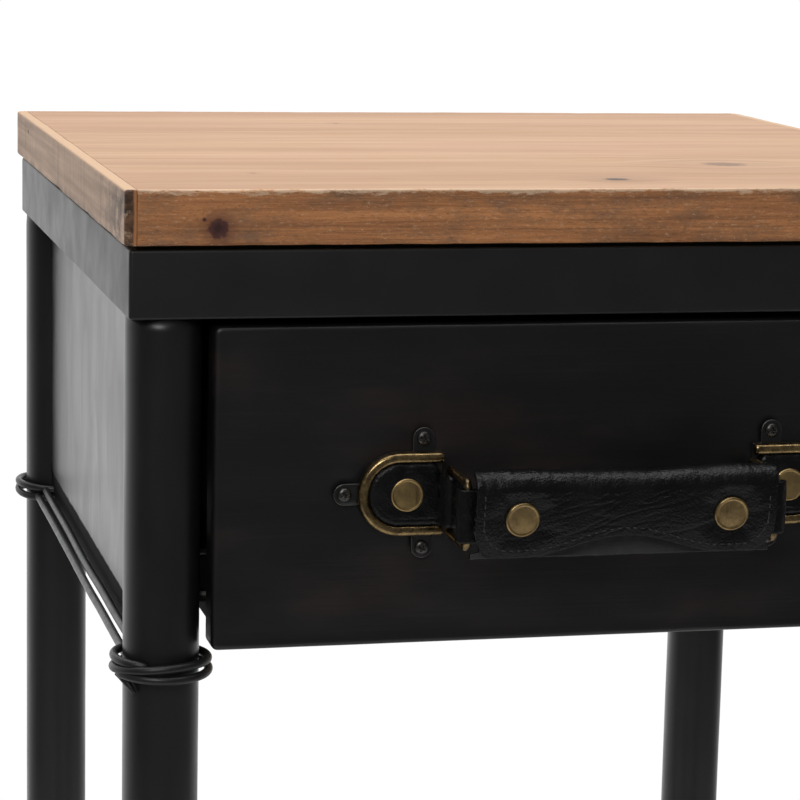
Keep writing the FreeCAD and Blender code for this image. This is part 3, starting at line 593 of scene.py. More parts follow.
def unevenness(point, scale, seed):
    # smooth noise from -1 to 1 at a place on the table
    shift = (seed * 7.31, -seed * 3.17, seed)
    return noise.noise(Vector([point[axis] * scale + shift[axis] for axis in range(3)]))


def addPiece(name, points, faces, body, look, replaced=()):
    mesh = bpy.data.meshes.new(name)
    mesh.from_pydata([tuple(point) for point in points], [], faces)
    mesh.update()
    piece = bpy.data.objects.new(name, mesh)
    bpy.context.scene.collection.objects.link(piece)
    for polygon in mesh.polygons:
        polygon.use_smooth = True
    mesh.materials.append(finish[look])
    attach(piece, body)
    if replaced:
        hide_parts(*replaced)
    return piece


def pieceName(node):
    words = node.split("_")
    return words[0] + "".join(word.capitalize() for word in words[1:])


def standFor(node, shape, body, look):
    # a piece that takes the place of the node it is named after
    return addPiece(pieceName(node), *shape, body, look, [node])


def gridFaces(rows, columns):
    # the faces of a sheet whose points are laid out row by row
    width = columns + 1
    starts = [row * width + column for row in range(rows) for column in range(columns)]
    return [(start, start + 1, start + width + 1, start + width) for start in starts]


def ringFaces(row, sides):
    # the faces between one ring of points and the next
    start = row * sides
    pairs = [(start + side, start + (side + 1) % sides) for side in range(sides)]
    return [(a, b, b + sides, a + sides) for a, b in pairs]


def applyModifier(piece, kind, **settings):
    modifier = piece.modifiers.new(kind.lower(), kind)
    for key, value in settings.items():
        setattr(modifier, key, value)
    bpy.context.view_layer.objects.active = piece
    with bpy.context.temp_override(object=piece, active_object=piece):
        bpy.ops.object.modifier_apply(modifier=modifier.name)


def steps(low, high, cell, edge):
    # places along one side of a block: close together near both ends, a cell apart between
    fine = [edge * part for part in (0, 0.18, 0.40, 0.68, 1.0)]
    inner = high - low - 2 * edge
    count = max(1, round(inner / cell))
    middle = [low + edge + inner * number / count for number in range(1, count)]
    return [low + step for step in fine] + middle + [high - step for step in reversed(fine)]


def blockGrid(low, high, cell, edge, openSide=None):
    # a block's surface as a welded grid; cell may differ along x, y and z
    cells = cell if isinstance(cell, tuple) else (cell,) * 3
    places = [steps(low[axis], high[axis], cells[axis], edge) for axis in range(3)]
    known, points, faces = {}, [], []

    def at(i, j, k):
        if (i, j, k) not in known:
            known[(i, j, k)] = len(points)
            points.append(Vector((places[0][i], places[1][j], places[2][k])))
        return known[(i, j, k)]

    counts = [len(row) - 1 for row in places]
    for axis in range(3):
        one, two = (axis + 1) % 3, (axis + 2) % 3
        for side in (0, counts[axis]):
            if openSide == (axis, side > 0):
                continue
            for a in range(counts[one]):
                for b in range(counts[two]):
                    corner = []
                    for da, db in ((0, 0), (1, 0), (1, 1), (0, 1)):
                        index = [0, 0, 0]
                        index[axis], index[one], index[two] = side, a + da, b + db
                        corner.append(at(*index))
                    faces.append(corner if side else corner[::-1])
    return points, faces


def wornBlock(low, high, cell, edge, radiusAt, pushAt=None, openSide=None):
    # a block with its edges rounded by a radius that changes from place to place
    points, faces = blockGrid(low, high, cell, edge, openSide)
    made = []
    for point in points:
        radius = radiusAt(point)
        inner = Vector([min(max(point[axis], low[axis] + radius), high[axis] - radius) for axis in range(3)])
        if openSide:
            axis, atHigh = openSide
            inner[axis] = max(point[axis], inner[axis]) if atHigh else min(point[axis], inner[axis])
        out = point - inner
        if out.length > 1e-9:
            moved = inner + out.normalized() * radius
        else:
            moved = point.copy()
        if pushAt:
            moved += pushAt(point, out)
        made.append(moved)
    return made, faces


def sweep(path, radius, sides=14, closed=False, profile=None, upHint=None):
    # a rod along a path; profile gives (across, up) places instead of a round one
    count = len(path)
    points, faces = [], []
    turn = 2 * math.pi
    ring = profile or [(math.cos(turn * n / sides), math.sin(turn * n / sides)) for n in range(sides)]
    sides = len(ring)
    previous = None
    for number, place in enumerate(path):
        before = path[(number - 1) % count] if (closed or number) else place
        after = path[(number + 1) % count] if (closed or number < count - 1) else place
        tangent = (after - before).normalized()
        if upHint is not None:
            up = upHint - tangent * upHint.dot(tangent)
        elif previous is None:
            guess = Vector((0, 0, 1)) if abs(tangent.z) < 0.9 else Vector((1, 0, 0))
            up = guess - tangent * guess.dot(tangent)
        else:
            up = previous - tangent * previous.dot(tangent)
        up.normalize()
        previous = up
        across = tangent.cross(up)
        size = radius(number / (count - 1)) if callable(radius) else radius
        for a, b in ring:
            points.append(place + across * (a * size) + up * (b * size))
    rows = count if closed else count - 1
    for row in range(rows):
        for side in range(sides):
            a, b = row * sides + side, row * sides + (side + 1) % sides
            c, d = ((row + 1) % count) * sides + (side + 1) % sides, ((row + 1) % count) * sides + side
            faces.append((a, d, c, b))
    if not closed:
        faces.append(tuple(range(sides)))
        faces.append(tuple(reversed(range((count - 1) * sides, count * sides))))
    return points, faces


def join(parts):
    points, faces = [], []
    for morePoints, moreFaces in parts:
        start = len(points)
        points.extend(morePoints)
        faces.extend(tuple(start + index for index in face) for face in moreFaces)
    return points, faces


def mirrorX(part):
    points, faces = part
    return [Vector((-p[0], p[1], p[2])) for p in points], [tuple(reversed(face)) for face in faces]


def bothSides(node, part, body, look):
    # the same piece on the left and, mirrored, on the right
    pieces = [standFor(node + "left", part, body, look), standFor(node + "right", mirrorX(part), body, look)]
    for piece in pieces:
        fixFacing(piece)
    return pieces


def turned(rows, centre, axisX, axisZ, outward, sides=40):
    # a turned button: rows of (radius, out) about a centre, on the plane of axisX and axisZ
    points, faces = [], []
    for radius, out in rows:
        for side in range(sides):
            angle = 2 * math.pi * side / sides
            points.append(centre + axisX * (radius * math.cos(angle)) + axisZ * (radius * math.sin(angle))
                          + outward * out)
    for row in range(len(rows) - 1):
        faces += ringFaces(row, sides)
    top = len(points)
    points.append(centre + outward * rows[-1][1])
    last = (len(rows) - 1) * sides
    faces.extend((last + side, last + (side + 1) % sides, top) for side in range(sides))
    return points, faces


def softStep(value):
    value = min(max(value, 0.0), 1.0)
    return value * value * (3 - 2 * value)


topShape = {
    "cell": 0.0028,
    "edgeZone": 0.0030,
    "edgeRadius": 0.0011,
    "edgeWear": 0.0011,           # how far the edge radius swings from place to place
    "frontZone": 0.02,            # how far in the worn front and back edges count
    "endZone": 0.0035,            # the boards' ends, under the lipping
    "jointRadius": 0.00022,
    "lippingCells": (0.0009, 0.0022, 0.0016),
    "lippingZone": 0.0021,
    "lippingFace": 0.003,
    "lippingRadius": 0.0021,      # the most that wear takes off the lipping
    "cornerZone": 0.004,
    "cornerRadius": 0.0012,
    "cornerWear": 0.0006,
    "wave": 0.00022,
}


def makeTop():
    t = topShape

    def outerEdge(point, seed):
        worn = max(0.0, unevenness(point, 46, seed)) + 0.6 * max(0.0, unevenness(point, 150, seed + 1))
        return t["edgeRadius"] * (0.65 + 0.25 * unevenness(point, 90, seed + 2)) + t["edgeWear"] * worn

    def push(point, out):
        if out.length < 1e-9:
            return Vector((0, 0, 0))
        deep = 0.5 + 0.5 * unevenness(point, 30, 5) + 0.25 * unevenness(point, 120, 6)
        return -out.normalized() * (t["wave"] * max(0.0, deep))

    for number, name in enumerate(("front", "middle", "back")):
        low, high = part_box("top_board_" + name)

        def radiusAt(point, low=low, high=high, number=number):
            atFront = number == 0 and point.y < low.y + t["frontZone"]
            atBack = number == 2 and point.y > high.y - t["frontZone"]
            nearEnd = min(point.x - low.x, high.x - point.x) < t["endZone"]
            if (atFront or atBack) and not nearEnd:
                return outerEdge(point, 3)
            return t["jointRadius"]
        shape = wornBlock(low, high, t["cell"], t["edgeZone"], radiusAt, push)
        standFor("top_board_" + name, shape, "table", "wood")
    for side in ("left", "right"):
        low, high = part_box("top_lipping_" + side)
        outer = low.x if side == "left" else high.x

        def radiusAt(point, outer=outer, low=low, high=high):
            fromEnd = min(point.y - low.y, high.y - point.y)
            if abs(point.x - outer) >= t["lippingFace"]:
                return t["jointRadius"]
            if fromEnd < t["cornerZone"]:
                return t["cornerRadius"] + t["cornerWear"] * unevenness(point, 130, 9)
            return min(outerEdge(point, 8), t["lippingRadius"])
        shape = wornBlock(low, high, t["lippingCells"], t["lippingZone"], radiusAt, push)
        standFor("top_lipping_" + side, shape, "table", "lipping")


print("wooden top")
makeTop()


frameShape = {
    "edgeRadius": 0.0011,
    "cornerRadius": 0.0016,
    "cornerSteps": 8,
    "innerBend": 0.00005,         # the least bend at the inner corners
}


def makeFrameBars():
    # one welded ring of square tube with its corners ground round
    f = frameShape
    low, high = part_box("apron_left")[0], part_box("apron_right")[1]
    depth = frameHigh.y - frameLow.y
    middle = (low + high) / 2
    half = (high - low) / 2
    radius = f["edgeRadius"]
    profile = []
    for inset, level, start in ((0, high.z, 90), (0, low.z, 180), (depth, low.z, 270), (depth, high.z, 0)):
        centreInset = radius if inset == 0 else depth - radius
        centreLevel = level - radius if level == high.z else level + radius
        for step in range(5):
            angle = math.radians(start + 90 * step / 4)
            profile.append((centreInset + radius * math.cos(angle), centreLevel + radius * math.sin(angle)))
    points, faces, around = [], [], []
    for signX, signY, start in ((-1, -1, 180), (1, -1, 270), (1, 1, 0), (-1, 1, 90)):
        for step in range(f["cornerSteps"] + 1):
            around.append((signX, signY, math.radians(start + 90 * step / f["cornerSteps"])))
    for inset, level in profile:
        bend = max(f["cornerRadius"] - inset, f["innerBend"])
        for signX, signY, angle in around:
            points.append(Vector((middle.x + signX * (half.x - inset - bend) + bend * math.cos(angle),
                                  middle.y + signY * (half.y - inset - bend) + bend * math.sin(angle), level)))
    count, rows = len(around), len(profile)
    for row in range(rows):
        for step in range(count):
            a, b = row * count + step, row * count + (step + 1) % count
            c, d = ((row + 1) % rows) * count + (step + 1) % count, ((row + 1) % rows) * count + step
            faces.append((a, d, c, b))
    piece = addPiece("frameBars", points, faces, "table", "apron",
                     ["apron_front", "apron_back", "apron_left", "apron_right"])
    fixFacing(piece)


def fixFacing(piece):
    work = bmesh.new()
    work.from_mesh(piece.data)
    bmesh.ops.recalc_face_normals(work, faces=work.faces)
    work.to_mesh(piece.data)
    work.free()


panelShape = {
    "cell": 0.0030,
    "cornerRadius": 0.012,
    "lip": 0.0125,
    "lipFall": 0.0011,
    "crown": 0.0003,
    "crownReach": 0.05,
    "crease": 0.00035,
    "creaseReach": 0.0012,
    "dents": 0.00030,
    "fineDents": 0.00012,
    "foldRadius": 0.0006,
    "flange": 0.0118,             # how far the folded edges reach back
    "sheet": 0.0010,
    "hang": 0.0022,               # the lip reaches this much below the design's panel
}


def makePanels():
    # a pressed sheet: a slightly crowned field, a crease, and a lip that falls away and folds back
    p = panelShape

    def panel(node, outward, acrossAxis):
        low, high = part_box(node)
        low.z -= p["hang"]
        start, end = low[acrossAxis], high[acrossAxis]
        face = low[1 - acrossAxis] if outward < 0 else high[1 - acrossAxis]
        width, height = end - start, high.z - low.z
        countA, countB = round(width / p["cell"]), round(height / p["cell"])
        points = []

        def spotOn(along, place, level):
            return Vector((place, along, level) if acrossAxis == 1 else (along, place, level))

        for b in range(countB + 1):
            for a in range(countA + 1):
                along = start + width * a / countA
                level = low.z + height * b / countB
                fromLip = min(level - low.z - p["hang"], high.z - level) - p["lip"]
                fromSide = min(along - start, end - along)
                # distance inside the field's round-cornered outline
                inside = min(fromSide, fromLip)
                corner = p["cornerRadius"]
                if max(fromSide, fromLip) < corner:
                    inside = corner - math.hypot(corner - fromSide, corner - fromLip)
                spot = Vector((along, level, 0.31 * outward + acrossAxis))
                fall = p["lipFall"] * softStep(-inside / p["lip"] * 0.5) * 2 if inside < 0 else 0.0
                fall = min(fall, p["lipFall"])
                crease = p["crease"] * math.exp(-(inside / p["creaseReach"]) ** 2)
                crown = p["crown"] * (1 - softStep(inside / p["crownReach"]))
                dent = p["dents"] * (0.5 + 0.5 * unevenness(spot, 26, 2))
                dent += p["fineDents"] * (1 + unevenness(spot, 90, 4)) / 2
                edge = min(level - low.z, high.z - level)
                fold, bend = 0.0, p["foldRadius"]
                if edge < bend:
                    fold = bend - math.sqrt(max(0, bend ** 2 - (bend - edge) ** 2))
                points.append(spotOn(along, face - outward * (fall + crease + crown + dent + fold), level))
        # the flanges folded back at the bottom and the top are one more row each
        flanges = [[spotOn(start + width * a / countA, face - outward * p["flange"], level)
                    for a in range(countA + 1)] for level in (low.z, low.z + height)]
        shape = flanges[0] + points + flanges[1], gridFaces(countB + 2, countA)
        piece = standFor(node, shape, "table", "panel" if acrossAxis else "panelBack")
        fixFacing(piece)
        middle = piece.data.polygons[(countB // 2 + 1) * countA + countA // 2]
        if middle.normal[1 - acrossAxis] * outward < 0:
            piece.data.flip_normals()
        applyModifier(piece, "SOLIDIFY", thickness=p["sheet"], offset=-1.0)

    panel("side_panel_left", -1, 1)
    panel("side_panel_right", 1, 1)
    panel("back_panel", 1, 0)


legShape = {
    "sides": 96,
    "rows": 120,
    "wall": 0.0015,
    "endEase": 0.0003,
    "dents": 0.00012,
}


legCorners = ("front_left", "front_right", "back_left", "back_right")


def makeLegs():
    for name in legCorners:
        low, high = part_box("leg_" + name)
        middle = (low + high) / 2
        rows, sides = legShape["rows"], legShape["sides"]
        points, faces = [], []
        for outside in (True, False):
            for row in range(rows + 1):
                z = low.z + (high.z - low.z) * row / rows
                for side in range(sides):
                    angle = 2 * math.pi * side / sides
                    radius = (high.x - low.x) / 2
                    if outside:
                        spot = Vector((math.cos(angle) + middle.x * 40, math.sin(angle) + middle.y * 30, z * 30))
                        radius -= legShape["dents"] * (0.5 + 0.5 * unevenness(spot, 1.2, 3))
                        if row in (0, rows):
                            radius -= legShape["endEase"]
                    else:
                        radius -= legShape["wall"]
                    points.append(Vector((middle.x + radius * math.cos(angle),
                                          middle.y + radius * math.sin(angle), z)))
        shell = (rows + 1) * sides
        for row in range(rows):
            faces += ringFaces(row, sides)
        for row in range(rows + 1, 2 * rows + 1):
            faces += [face[::-1] for face in ringFaces(row, sides)]
        for row in (0, rows):
            for side in range(sides):
                a, b = row * sides + side, row * sides + (side + 1) % sides
                face = (a, a + shell, b + shell, b)
                faces.append(face if row == 0 else face[::-1])
        standFor("leg_" + name, (points, faces), "table", "legs")


print("steel frame, panels and legs")
makeFrameBars()
makePanels()
makeLegs()


wireShape = {
    "thickness": 0.0032,
    "turnRadius": 0.0175,
    "pitch": 0.0042,
    "tilt": 0.025,
    "turns": 2.12,
    "turnSteps": 150,
    "starts": (200, -20, 160, 20),    # where each winding begins, in degrees, and which way it goes
    "spins": (1, -1, -1, 1),
    "swing": 0.0007,
    "tuck": 0.0012,
    "rodSteps": 40,
    "overrun": 0.001,
    "rodWander": 0.00035,
    "rodSag": 0.0006,
}


def makeWires():
    w = wireShape
    radius = w["thickness"] / 2
    for number, name in enumerate(legCorners):
        low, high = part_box("leg_" + name)
        x, y = (low.x + high.x) / 2, (low.y + high.y) / 2
        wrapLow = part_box("leg_wrap_" + name)[0].z + radius
        path = []
        start, spin = math.radians(w["starts"][number]), w["spins"][number]
        for step in range(w["turnSteps"] + 1):
            part = step / w["turnSteps"]
            angle = start + spin * 2 * math.pi * w["turns"] * part
            z = wrapLow + w["pitch"] * softStep((part - 0.38) / 0.24) - 0.0003 * math.sin(6 * math.pi * part)
            lean = w["tilt"] * w["turnRadius"] * math.cos(angle - start + 1.0)
            grow = w["swing"] * unevenness(Vector((number, part * 3, 0)), 1.6, 7)
            reach = w["turnRadius"] + grow - 0.0001
            if part > 0.96:
                reach -= w["tuck"] * softStep((part - 0.96) / 0.04)
            path.append(Vector((x + reach * math.cos(angle), y + reach * math.sin(angle), z + lean)))
        if name == "front_left":
            # the twisted-off end hangs below the lower turn
            path = [path[0] + Vector((0.0013 * k, -0.0012 * k, -0.0011 * k - 0.00016 * k * k))
                    for k in (4, 3, 2, 1)] + path
        shape = sweep(path, lambda part: radius * (0.55 + 0.45 * softStep(part * 60))
                      * (0.55 + 0.45 * softStep((1 - part) * 60)))
        standFor("leg_wrap_" + name, shape, "table", "wire")

    def straights(node, alongAxis):
        # two rods from leg to leg, the lower one outside
        low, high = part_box(node)
        acrossAxis = 1 - alongAxis
        near, far = low[acrossAxis] + radius, high[acrossAxis] - radius
        outer, inner = (far, near) if (low + high)[acrossAxis] > 0 else (near, far)
        rods = []
        for rod, (across, level) in enumerate(((outer, low.z + radius), (inner, high.z - radius))):
            path = []
            for step in range(w["rodSteps"] + 1):
                part = step / w["rodSteps"]
                length = high[alongAxis] - low[alongAxis] + 2 * w["overrun"]
                bow = math.sin(math.pi * part)
                wander = w["rodWander"] * bow * unevenness(Vector((part * 4, rod * 3, alongAxis)), 1.3, 5)
                spot = [0, 0, level - w["rodSag"] * bow * (1 + rod) + wander]
                spot[alongAxis] = low[alongAxis] - w["overrun"] + length * part
                spot[acrossAxis] = across + wander
                path.append(Vector(spot))
            rods.append(sweep(path, radius))
        standFor(node, join(rods), "table", "wire")

    straights("stretcher_left", 1)
    straights("stretcher_right", 1)
    straights("stretcher_back", 0)


print("wound wire")
makeWires()


drawerShape = {
    "cell": 0.0026,
    "sideCell": 0.004,
    "edgeZone": 0.003,
    "edgeRadius": 0.0026,
    "sheet": 0.0006,
    "faceDepth": 0.004,           # only the first part of the sheet's depth is pushed in
    "crownStart": 0.004,
    "border": 0.002,
    "borderReach": 0.02,
    "fineWave": 0.0001,
    "dimple": 0.00085,
    "dimpleReach": 0.0075,
    "wave": 0.00035,
    "crown": 0.0006,
}


def rowsOf(node):
    # the middles of a node's separate solids, sorted from left to right and upward
    mesh = frame["nodes"][node].data
    parent = list(range(len(mesh.vertices)))

    def root(index):
        while parent[index] != index:
            parent[index] = parent[parent[index]]
            index = parent[index]
        return index

    seen = {}
    for vertex in mesh.vertices:
        key = tuple(round(value, 6) for value in vertex.co)
        if key in seen:
            parent[root(vertex.index)] = root(seen[key])
        seen[key] = vertex.index
    for edge in mesh.edges:
        a, b = edge.vertices
        parent[root(a)] = root(b)
    groups = {}
    for vertex in mesh.vertices:
        groups.setdefault(root(vertex.index), []).append(vertex.co)
    middles = []
    for places in groups.values():
        low = Vector([min(place[axis] for place in places) for axis in range(3)])
        high = Vector([max(place[axis] for place in places) for axis in range(3)])
        middles.append((low + high) / 2)
    return sorted(middles, key=lambda middle: (round(middle.x, 4), middle.z))


def makeDrawerFront():
    d = drawerShape
    low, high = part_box("drawer_front_skin")
    screws = rowsOf("plate_screws")

    def radiusAt(point):
        return d["edgeRadius"] * (1 + 0.12 * unevenness(point, 40, 3))

    def push(point, out):
        if point.y > low.y + d["faceDepth"]:
            return Vector((0, 0, 0))
        fromEdge = min(point.x - low.x, high.x - point.x, point.z - low.z, high.z - point.z)
        inside = softStep((fromEdge - d["border"]) / d["borderReach"])
        depth = d["wave"] * inside * (0.5 + 0.5 * unevenness(point, 17, 4))
        depth += d["fineWave"] * inside * unevenness(point, 60, 8)
        depth += d["crown"] * (1 - inside) * softStep(fromEdge / d["crownStart"])
        for screw in screws:
            away = math.hypot(point.x - screw.x, point.z - screw.z) / d["dimpleReach"]
            if away < 3:
                depth += d["dimple"] * math.exp(-away * away)
        return Vector((0, max(0.0, depth), 0))

    cells = (d["cell"], d["sideCell"], d["cell"])
    shape = wornBlock(low, high, cells, d["edgeZone"], radiusAt, push, (1, True))
    piece = addPiece("drawerFrontSheet", *shape, "drawer", "drawer", ["drawer_front_skin"])
    applyModifier(piece, "SOLIDIFY", thickness=d["sheet"], offset=-1.0)


print("drawer front")
makeDrawerFront()


def handlePoint(along, out, up):
    # a place on the handle: along the front from its middle, out from the drawer's face, up from the rivets
    return Vector((along, frontY - out, handleZ + up))


ringLow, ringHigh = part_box("handle_ring_right")
ringRod = 0.0015                      # half the thickness of the rings' rod
handle = {
    "plate": 0.0012,
    "ringAlong": (ringLow.x + ringHigh.x) / 2,
    "ringUp": (ringLow.z + ringHigh.z) / 2 - handleZ,
    "ringHalf": (ringHigh.z - ringLow.z) / 2 - ringRod,
    "ringNear": frontY - ringHigh.y + ringRod,
    "ringFar": frontY - ringLow.y - ringRod,
}

rimShape = {
    "width": 0.0040,
    "height": 0.0035,
    "shoulder": 0.0010,
    "sideRound": 0.78,            # 1 is a plain half circle, less is squarer
    "topRound": 0.72,
    "wander": 0.00012,
}


def makeRims():
    r = rimShape
    low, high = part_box("handle_rim_left")
    half = (high.z - low.z) / 2 - r["width"] / 2
    roundEnd = -low.x - (high.z - low.z) / 2
    profile = [(-r["width"] / 2, 0.0), (-r["width"] / 2, r["shoulder"])]
    for step in range(1, 12):
        angle = math.pi * step / 12
        c, s = math.cos(angle), math.sin(angle)
        profile.append((-r["width"] / 2 * math.copysign(abs(c) ** r["sideRound"], c),
                        r["shoulder"] + (r["height"] - r["shoulder"]) * s ** r["topRound"]))
    profile += [(r["width"] / 2, r["shoulder"]), (r["width"] / 2, 0.0)]
    path = []
    openEnd = -high.x
    for step in range(9):
        path.append(handlePoint(-(openEnd + (roundEnd - openEnd) * step / 9), handle["plate"], half))
    for step in range(33):
        angle = math.pi / 2 + math.pi * step / 32
        path.append(handlePoint(-roundEnd + half * math.cos(angle), handle["plate"], half * math.sin(angle)))
    for step in range(9):
        path.append(handlePoint(-(roundEnd + (openEnd - roundEnd) * (step + 1) / 9), handle["plate"], -half))
    for number, point in enumerate(path):
        if 0 < number < len(path) - 1:
            point.z += r["wander"] * unevenness(point, 90, 3)

    def size(part):
        near = min(part, 1 - part)
        return 0.90 + 0.10 * softStep(near / 0.012)
    # extra rows at the two sawn ends so that the softening shows
    path = [path[0], path[0].lerp(path[1], 0.12)] + path[1:-1] + [path[-1].lerp(path[-2], 0.12), path[-1]]
    shape = sweep(path, size, profile=profile, upHint=Vector((0, -1, 0)))
    bothSides("handle_rim_", shape, "drawer", "rim")


tabShape = {
    "rise": 0.0026,
    "edgeRound": 0.0020,
    "skin": 0.0012,
    "puff": 0.0003,
    "half": 0.01125,              # half the strap's width, and the radius of its end
    "neckHalf": 0.0091,
    "neckStart": 0.0615,          # where the strap lifts toward the ring
    "narrowStart": 0.0640,
    "narrowReach": 0.0025,
    "roll": 0.00295,
    "underReach": 0.0028,
    "underOut": 0.0009,
    "seam": 0.00022,
    "seamInset": 0.0021,
    "seamWidth": 0.0004,
    "rivetAlong": 0.0736,
    "dimple": 0.0005,
    "dimpleReach": 0.0085,
    "wrinkle": 0.00022,
    "borderRoll": 0.0004,
    "borderReach": 0.0008,
}


def makeTabs():
    t = tabShape
    low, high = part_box("leather_tab_left")
    centre = handle["ringAlong"]
    farEnd = -low.x
    half, neckHalf, roll, neck = t["half"], t["neckHalf"], t["roll"], t["neckStart"]
    level = handle["plate"] + t["rise"]
    # the strap's line from its round end, over the rivet, round the ring's bar and back under
    line = []
    for step in range(41):
        line.append((farEnd - (farEnd - neck) * (step / 40), level, "strap"))
    for step in range(1, 9):
        part = step / 8
        line.append((neck + (centre - neck) * part,
                     level + (handle["ringNear"] + roll - handle["plate"] - t["rise"]) * softStep(part), "neck"))
    for step in range(1, 22):
        angle = math.pi / 2 + math.pi * step / 21
        line.append((centre + roll * math.cos(angle), handle["ringNear"] + roll * math.sin(angle), "roll"))
    line.append((centre + t["underReach"], handle["plate"] + t["underOut"], "under"))
    points = []
    across = [math.sin(math.pi / 2 * (-1 + 2 * n / 40)) for n in range(41)]
    for along, out, kind in line:
        gap = farEnd - along
        if kind == "strap":
            reach = half if gap > half else math.sqrt(max(1e-9, half * half - (half - gap) ** 2))
            centreUp = 0.0
            if along < t["narrowStart"]:
                blend = softStep((t["narrowStart"] - along) / t["narrowReach"])
                reach = reach + (neckHalf - reach) * blend
                centreUp = handle["ringUp"] * blend
        else:
            reach, centreUp = neckHalf, handle["ringUp"]
        for part in across:
            up = centreUp + reach * part
            border = reach * (1 - abs(part))
            if kind == "strap":
                if gap < half:
                    border = half - math.hypot(half - gap, up)
                border = max(border, 0.0)
                ease = 1 - min(border / t["edgeRound"], 1)
                drop = t["rise"] * (1 - math.sqrt(max(0.0, 1 - ease * ease)))
                seam = t["seam"] * math.exp(-((border - t["seamInset"]) / t["seamWidth"]) ** 2)
                away = math.hypot(along - t["rivetAlong"], up)
                dimple = t["dimple"] * math.exp(-(away / t["dimpleReach"]) ** 2)
                place = out - drop - seam - dimple + t["puff"] * unevenness((along, up, 1), 240, 2)
            else:
                wrinkle = t["wrinkle"] * unevenness((along * 0.4, up, 2), 420, 4)
                edge = t["borderRoll"] * max(0.0, 1 - border / t["borderReach"])
                place = out + (wrinkle - edge if kind != "under" else 0)
            points.append(handlePoint(-along, place, up))
    shape = points, gridFaces(len(line) - 1, len(across) - 1)
    for piece in bothSides("leather_tab_", shape, "drawer", "leather"):
        probe = max(piece.data.polygons, key=lambda face: face.area)
        if probe.normal.y > 0:
            piece.data.flip_normals()
        applyModifier(piece, "SOLIDIFY", thickness=t["skin"], offset=-1.0)


ringShape = {
    "corner": 0.0026,
    "wobble": 0.00015,
    "wobbleReach": 0.004,
    "step": 0.0015,
    "sides": 18,
}


def makeRings():
    h, corner = handle, ringShape["corner"]
    near, far = h["ringNear"], h["ringFar"]
    top, bottom = h["ringUp"] + h["ringHalf"], h["ringUp"] - h["ringHalf"]
    corners = ((far - corner, top - corner, 90, 0), (far - corner, bottom + corner, 0, -90),
               (near + corner, bottom + corner, 270, 180), (near + corner, top - corner, 180, 90))
    for side, sign in (("left", -1), ("right", 1)):
        stops = []
        for out, up, start, end in corners:
            for step in range(9):
                angle = math.radians(start + (end - start) * step / 8)
                stops.append((out + corner * math.cos(angle), up + corner * math.sin(angle)))
        path = []
        for number, (out, up) in enumerate(stops):
            nextOut, nextUp = stops[(number + 1) % len(stops)]
            gap = math.hypot(nextOut - out, nextUp - up)
            pieces = max(1, round(gap / ringShape["step"]))
            for step in range(pieces):
                part = step / pieces
                path.append(handlePoint(sign * h["ringAlong"], out + (nextOut - out) * part,
                                        up + (nextUp - up) * part))
        for point in path:
            away = min(abs(frontY - point.y - near), abs(frontY - point.y - far))
            point.x += ringShape["wobble"] * unevenness(point, 120, 4) * softStep(away / ringShape["wobbleReach"])
        shape = sweep(path, ringRod, ringShape["sides"], closed=True)
        fixFacing(standFor("handle_ring_" + side, shape, "ring_" + side, "ring"))


gripShape = {
    "leather": 0.0017,
    "halfLength": 0.0564,
    "backHalfLength": 0.0528,
    "centreOut": 0.0320,
    "centreUp": 0.0076,
    "fold": 0.0066,
    "flapLow": -0.0177,
    "flapFoot": 0.0342,
    "crest": 0.0076,              # how far the scallop rises in the middle
    "scallopHalf": 0.0385,
    "cornerRadius": 0.0105,
    "backLow": -0.0188,
    "backFoot": 0.0286,
    "rivetAlong": 0.0392,
    "rivetUp": -0.0030,
    "foldStart": 0.42,            # the share of the leather in the flap, in the fold and in the back
    "foldEnd": 0.62,
    "foldShare": 0.20,
    "backShare": 0.38,
    "flapFaces": (0.985, -0.171), # out and up, the way the flap looks
    "belly": 0.0007,
    "dimple": 0.0010,
    "dimpleReach": 0.0088,
    "swell": 0.00045,             # the raised ring round each dimple
    "ray": 0.00016,               # creases that run out from the rivets
    "sag": 0.0009,
    "hump": 0.0006,
    "pucker": 0.00028,
    "pebble": 0.00016,
    "slack": 0.0004,
    "wrinkle": 0.00038,
    "fill": 0.35,
    "columns": 170,
    "rows": 112,
    "seamInset": 0.0030,
    "seamTop": 0.0060,
    "stitch": 0.0019,
    "stitchPitch": 0.0029,
    "thread": 0.00030,
    "threadSink": 0.00026,
    "threadArch": 0.00042,
}


def flapEdge(along):
    g = gripShape
    bell = 0.5 + 0.5 * math.cos(math.pi * min(abs(along) / g["scallopHalf"], 1))
    low = g["flapLow"] + g["crest"] * bell
    over = abs(along) - (g["halfLength"] - g["cornerRadius"])
    if over > 0:
        over = min(over, g["cornerRadius"])
        low += g["cornerRadius"] - math.sqrt(max(0.0, g["cornerRadius"] ** 2 - over ** 2))
    return low


def gripLine(along, part):
    # the fold's section at one place along the grip: part 0 is the flap's edge, 1 the back's edge
    g = gripShape
    front = g["centreOut"] + g["fold"]
    if part <= g["foldStart"]:
        share = part / g["foldStart"]
        up = flapEdge(along) + (g["centreUp"] - flapEdge(along)) * share
        slope = (up - g["flapLow"]) / (g["centreUp"] - g["flapLow"])
        belly = g["belly"] * math.sin(math.pi * min(max(slope, 0), 1))
        return g["flapFoot"] + (front - g["flapFoot"]) * slope + belly, up
    if part <= g["foldEnd"]:
        angle = math.pi * (part - g["foldStart"]) / g["foldShare"]
        return g["centreOut"] + g["fold"] * math.cos(angle), g["centreUp"] + g["fold"] * math.sin(angle)
    share = (part - g["foldEnd"]) / g["backShare"]
    up = g["centreUp"] + (g["backLow"] - g["centreUp"]) * share
    return g["centreOut"] - g["fold"] + (g["backFoot"] - g["centreOut"] + g["fold"]) * share, up


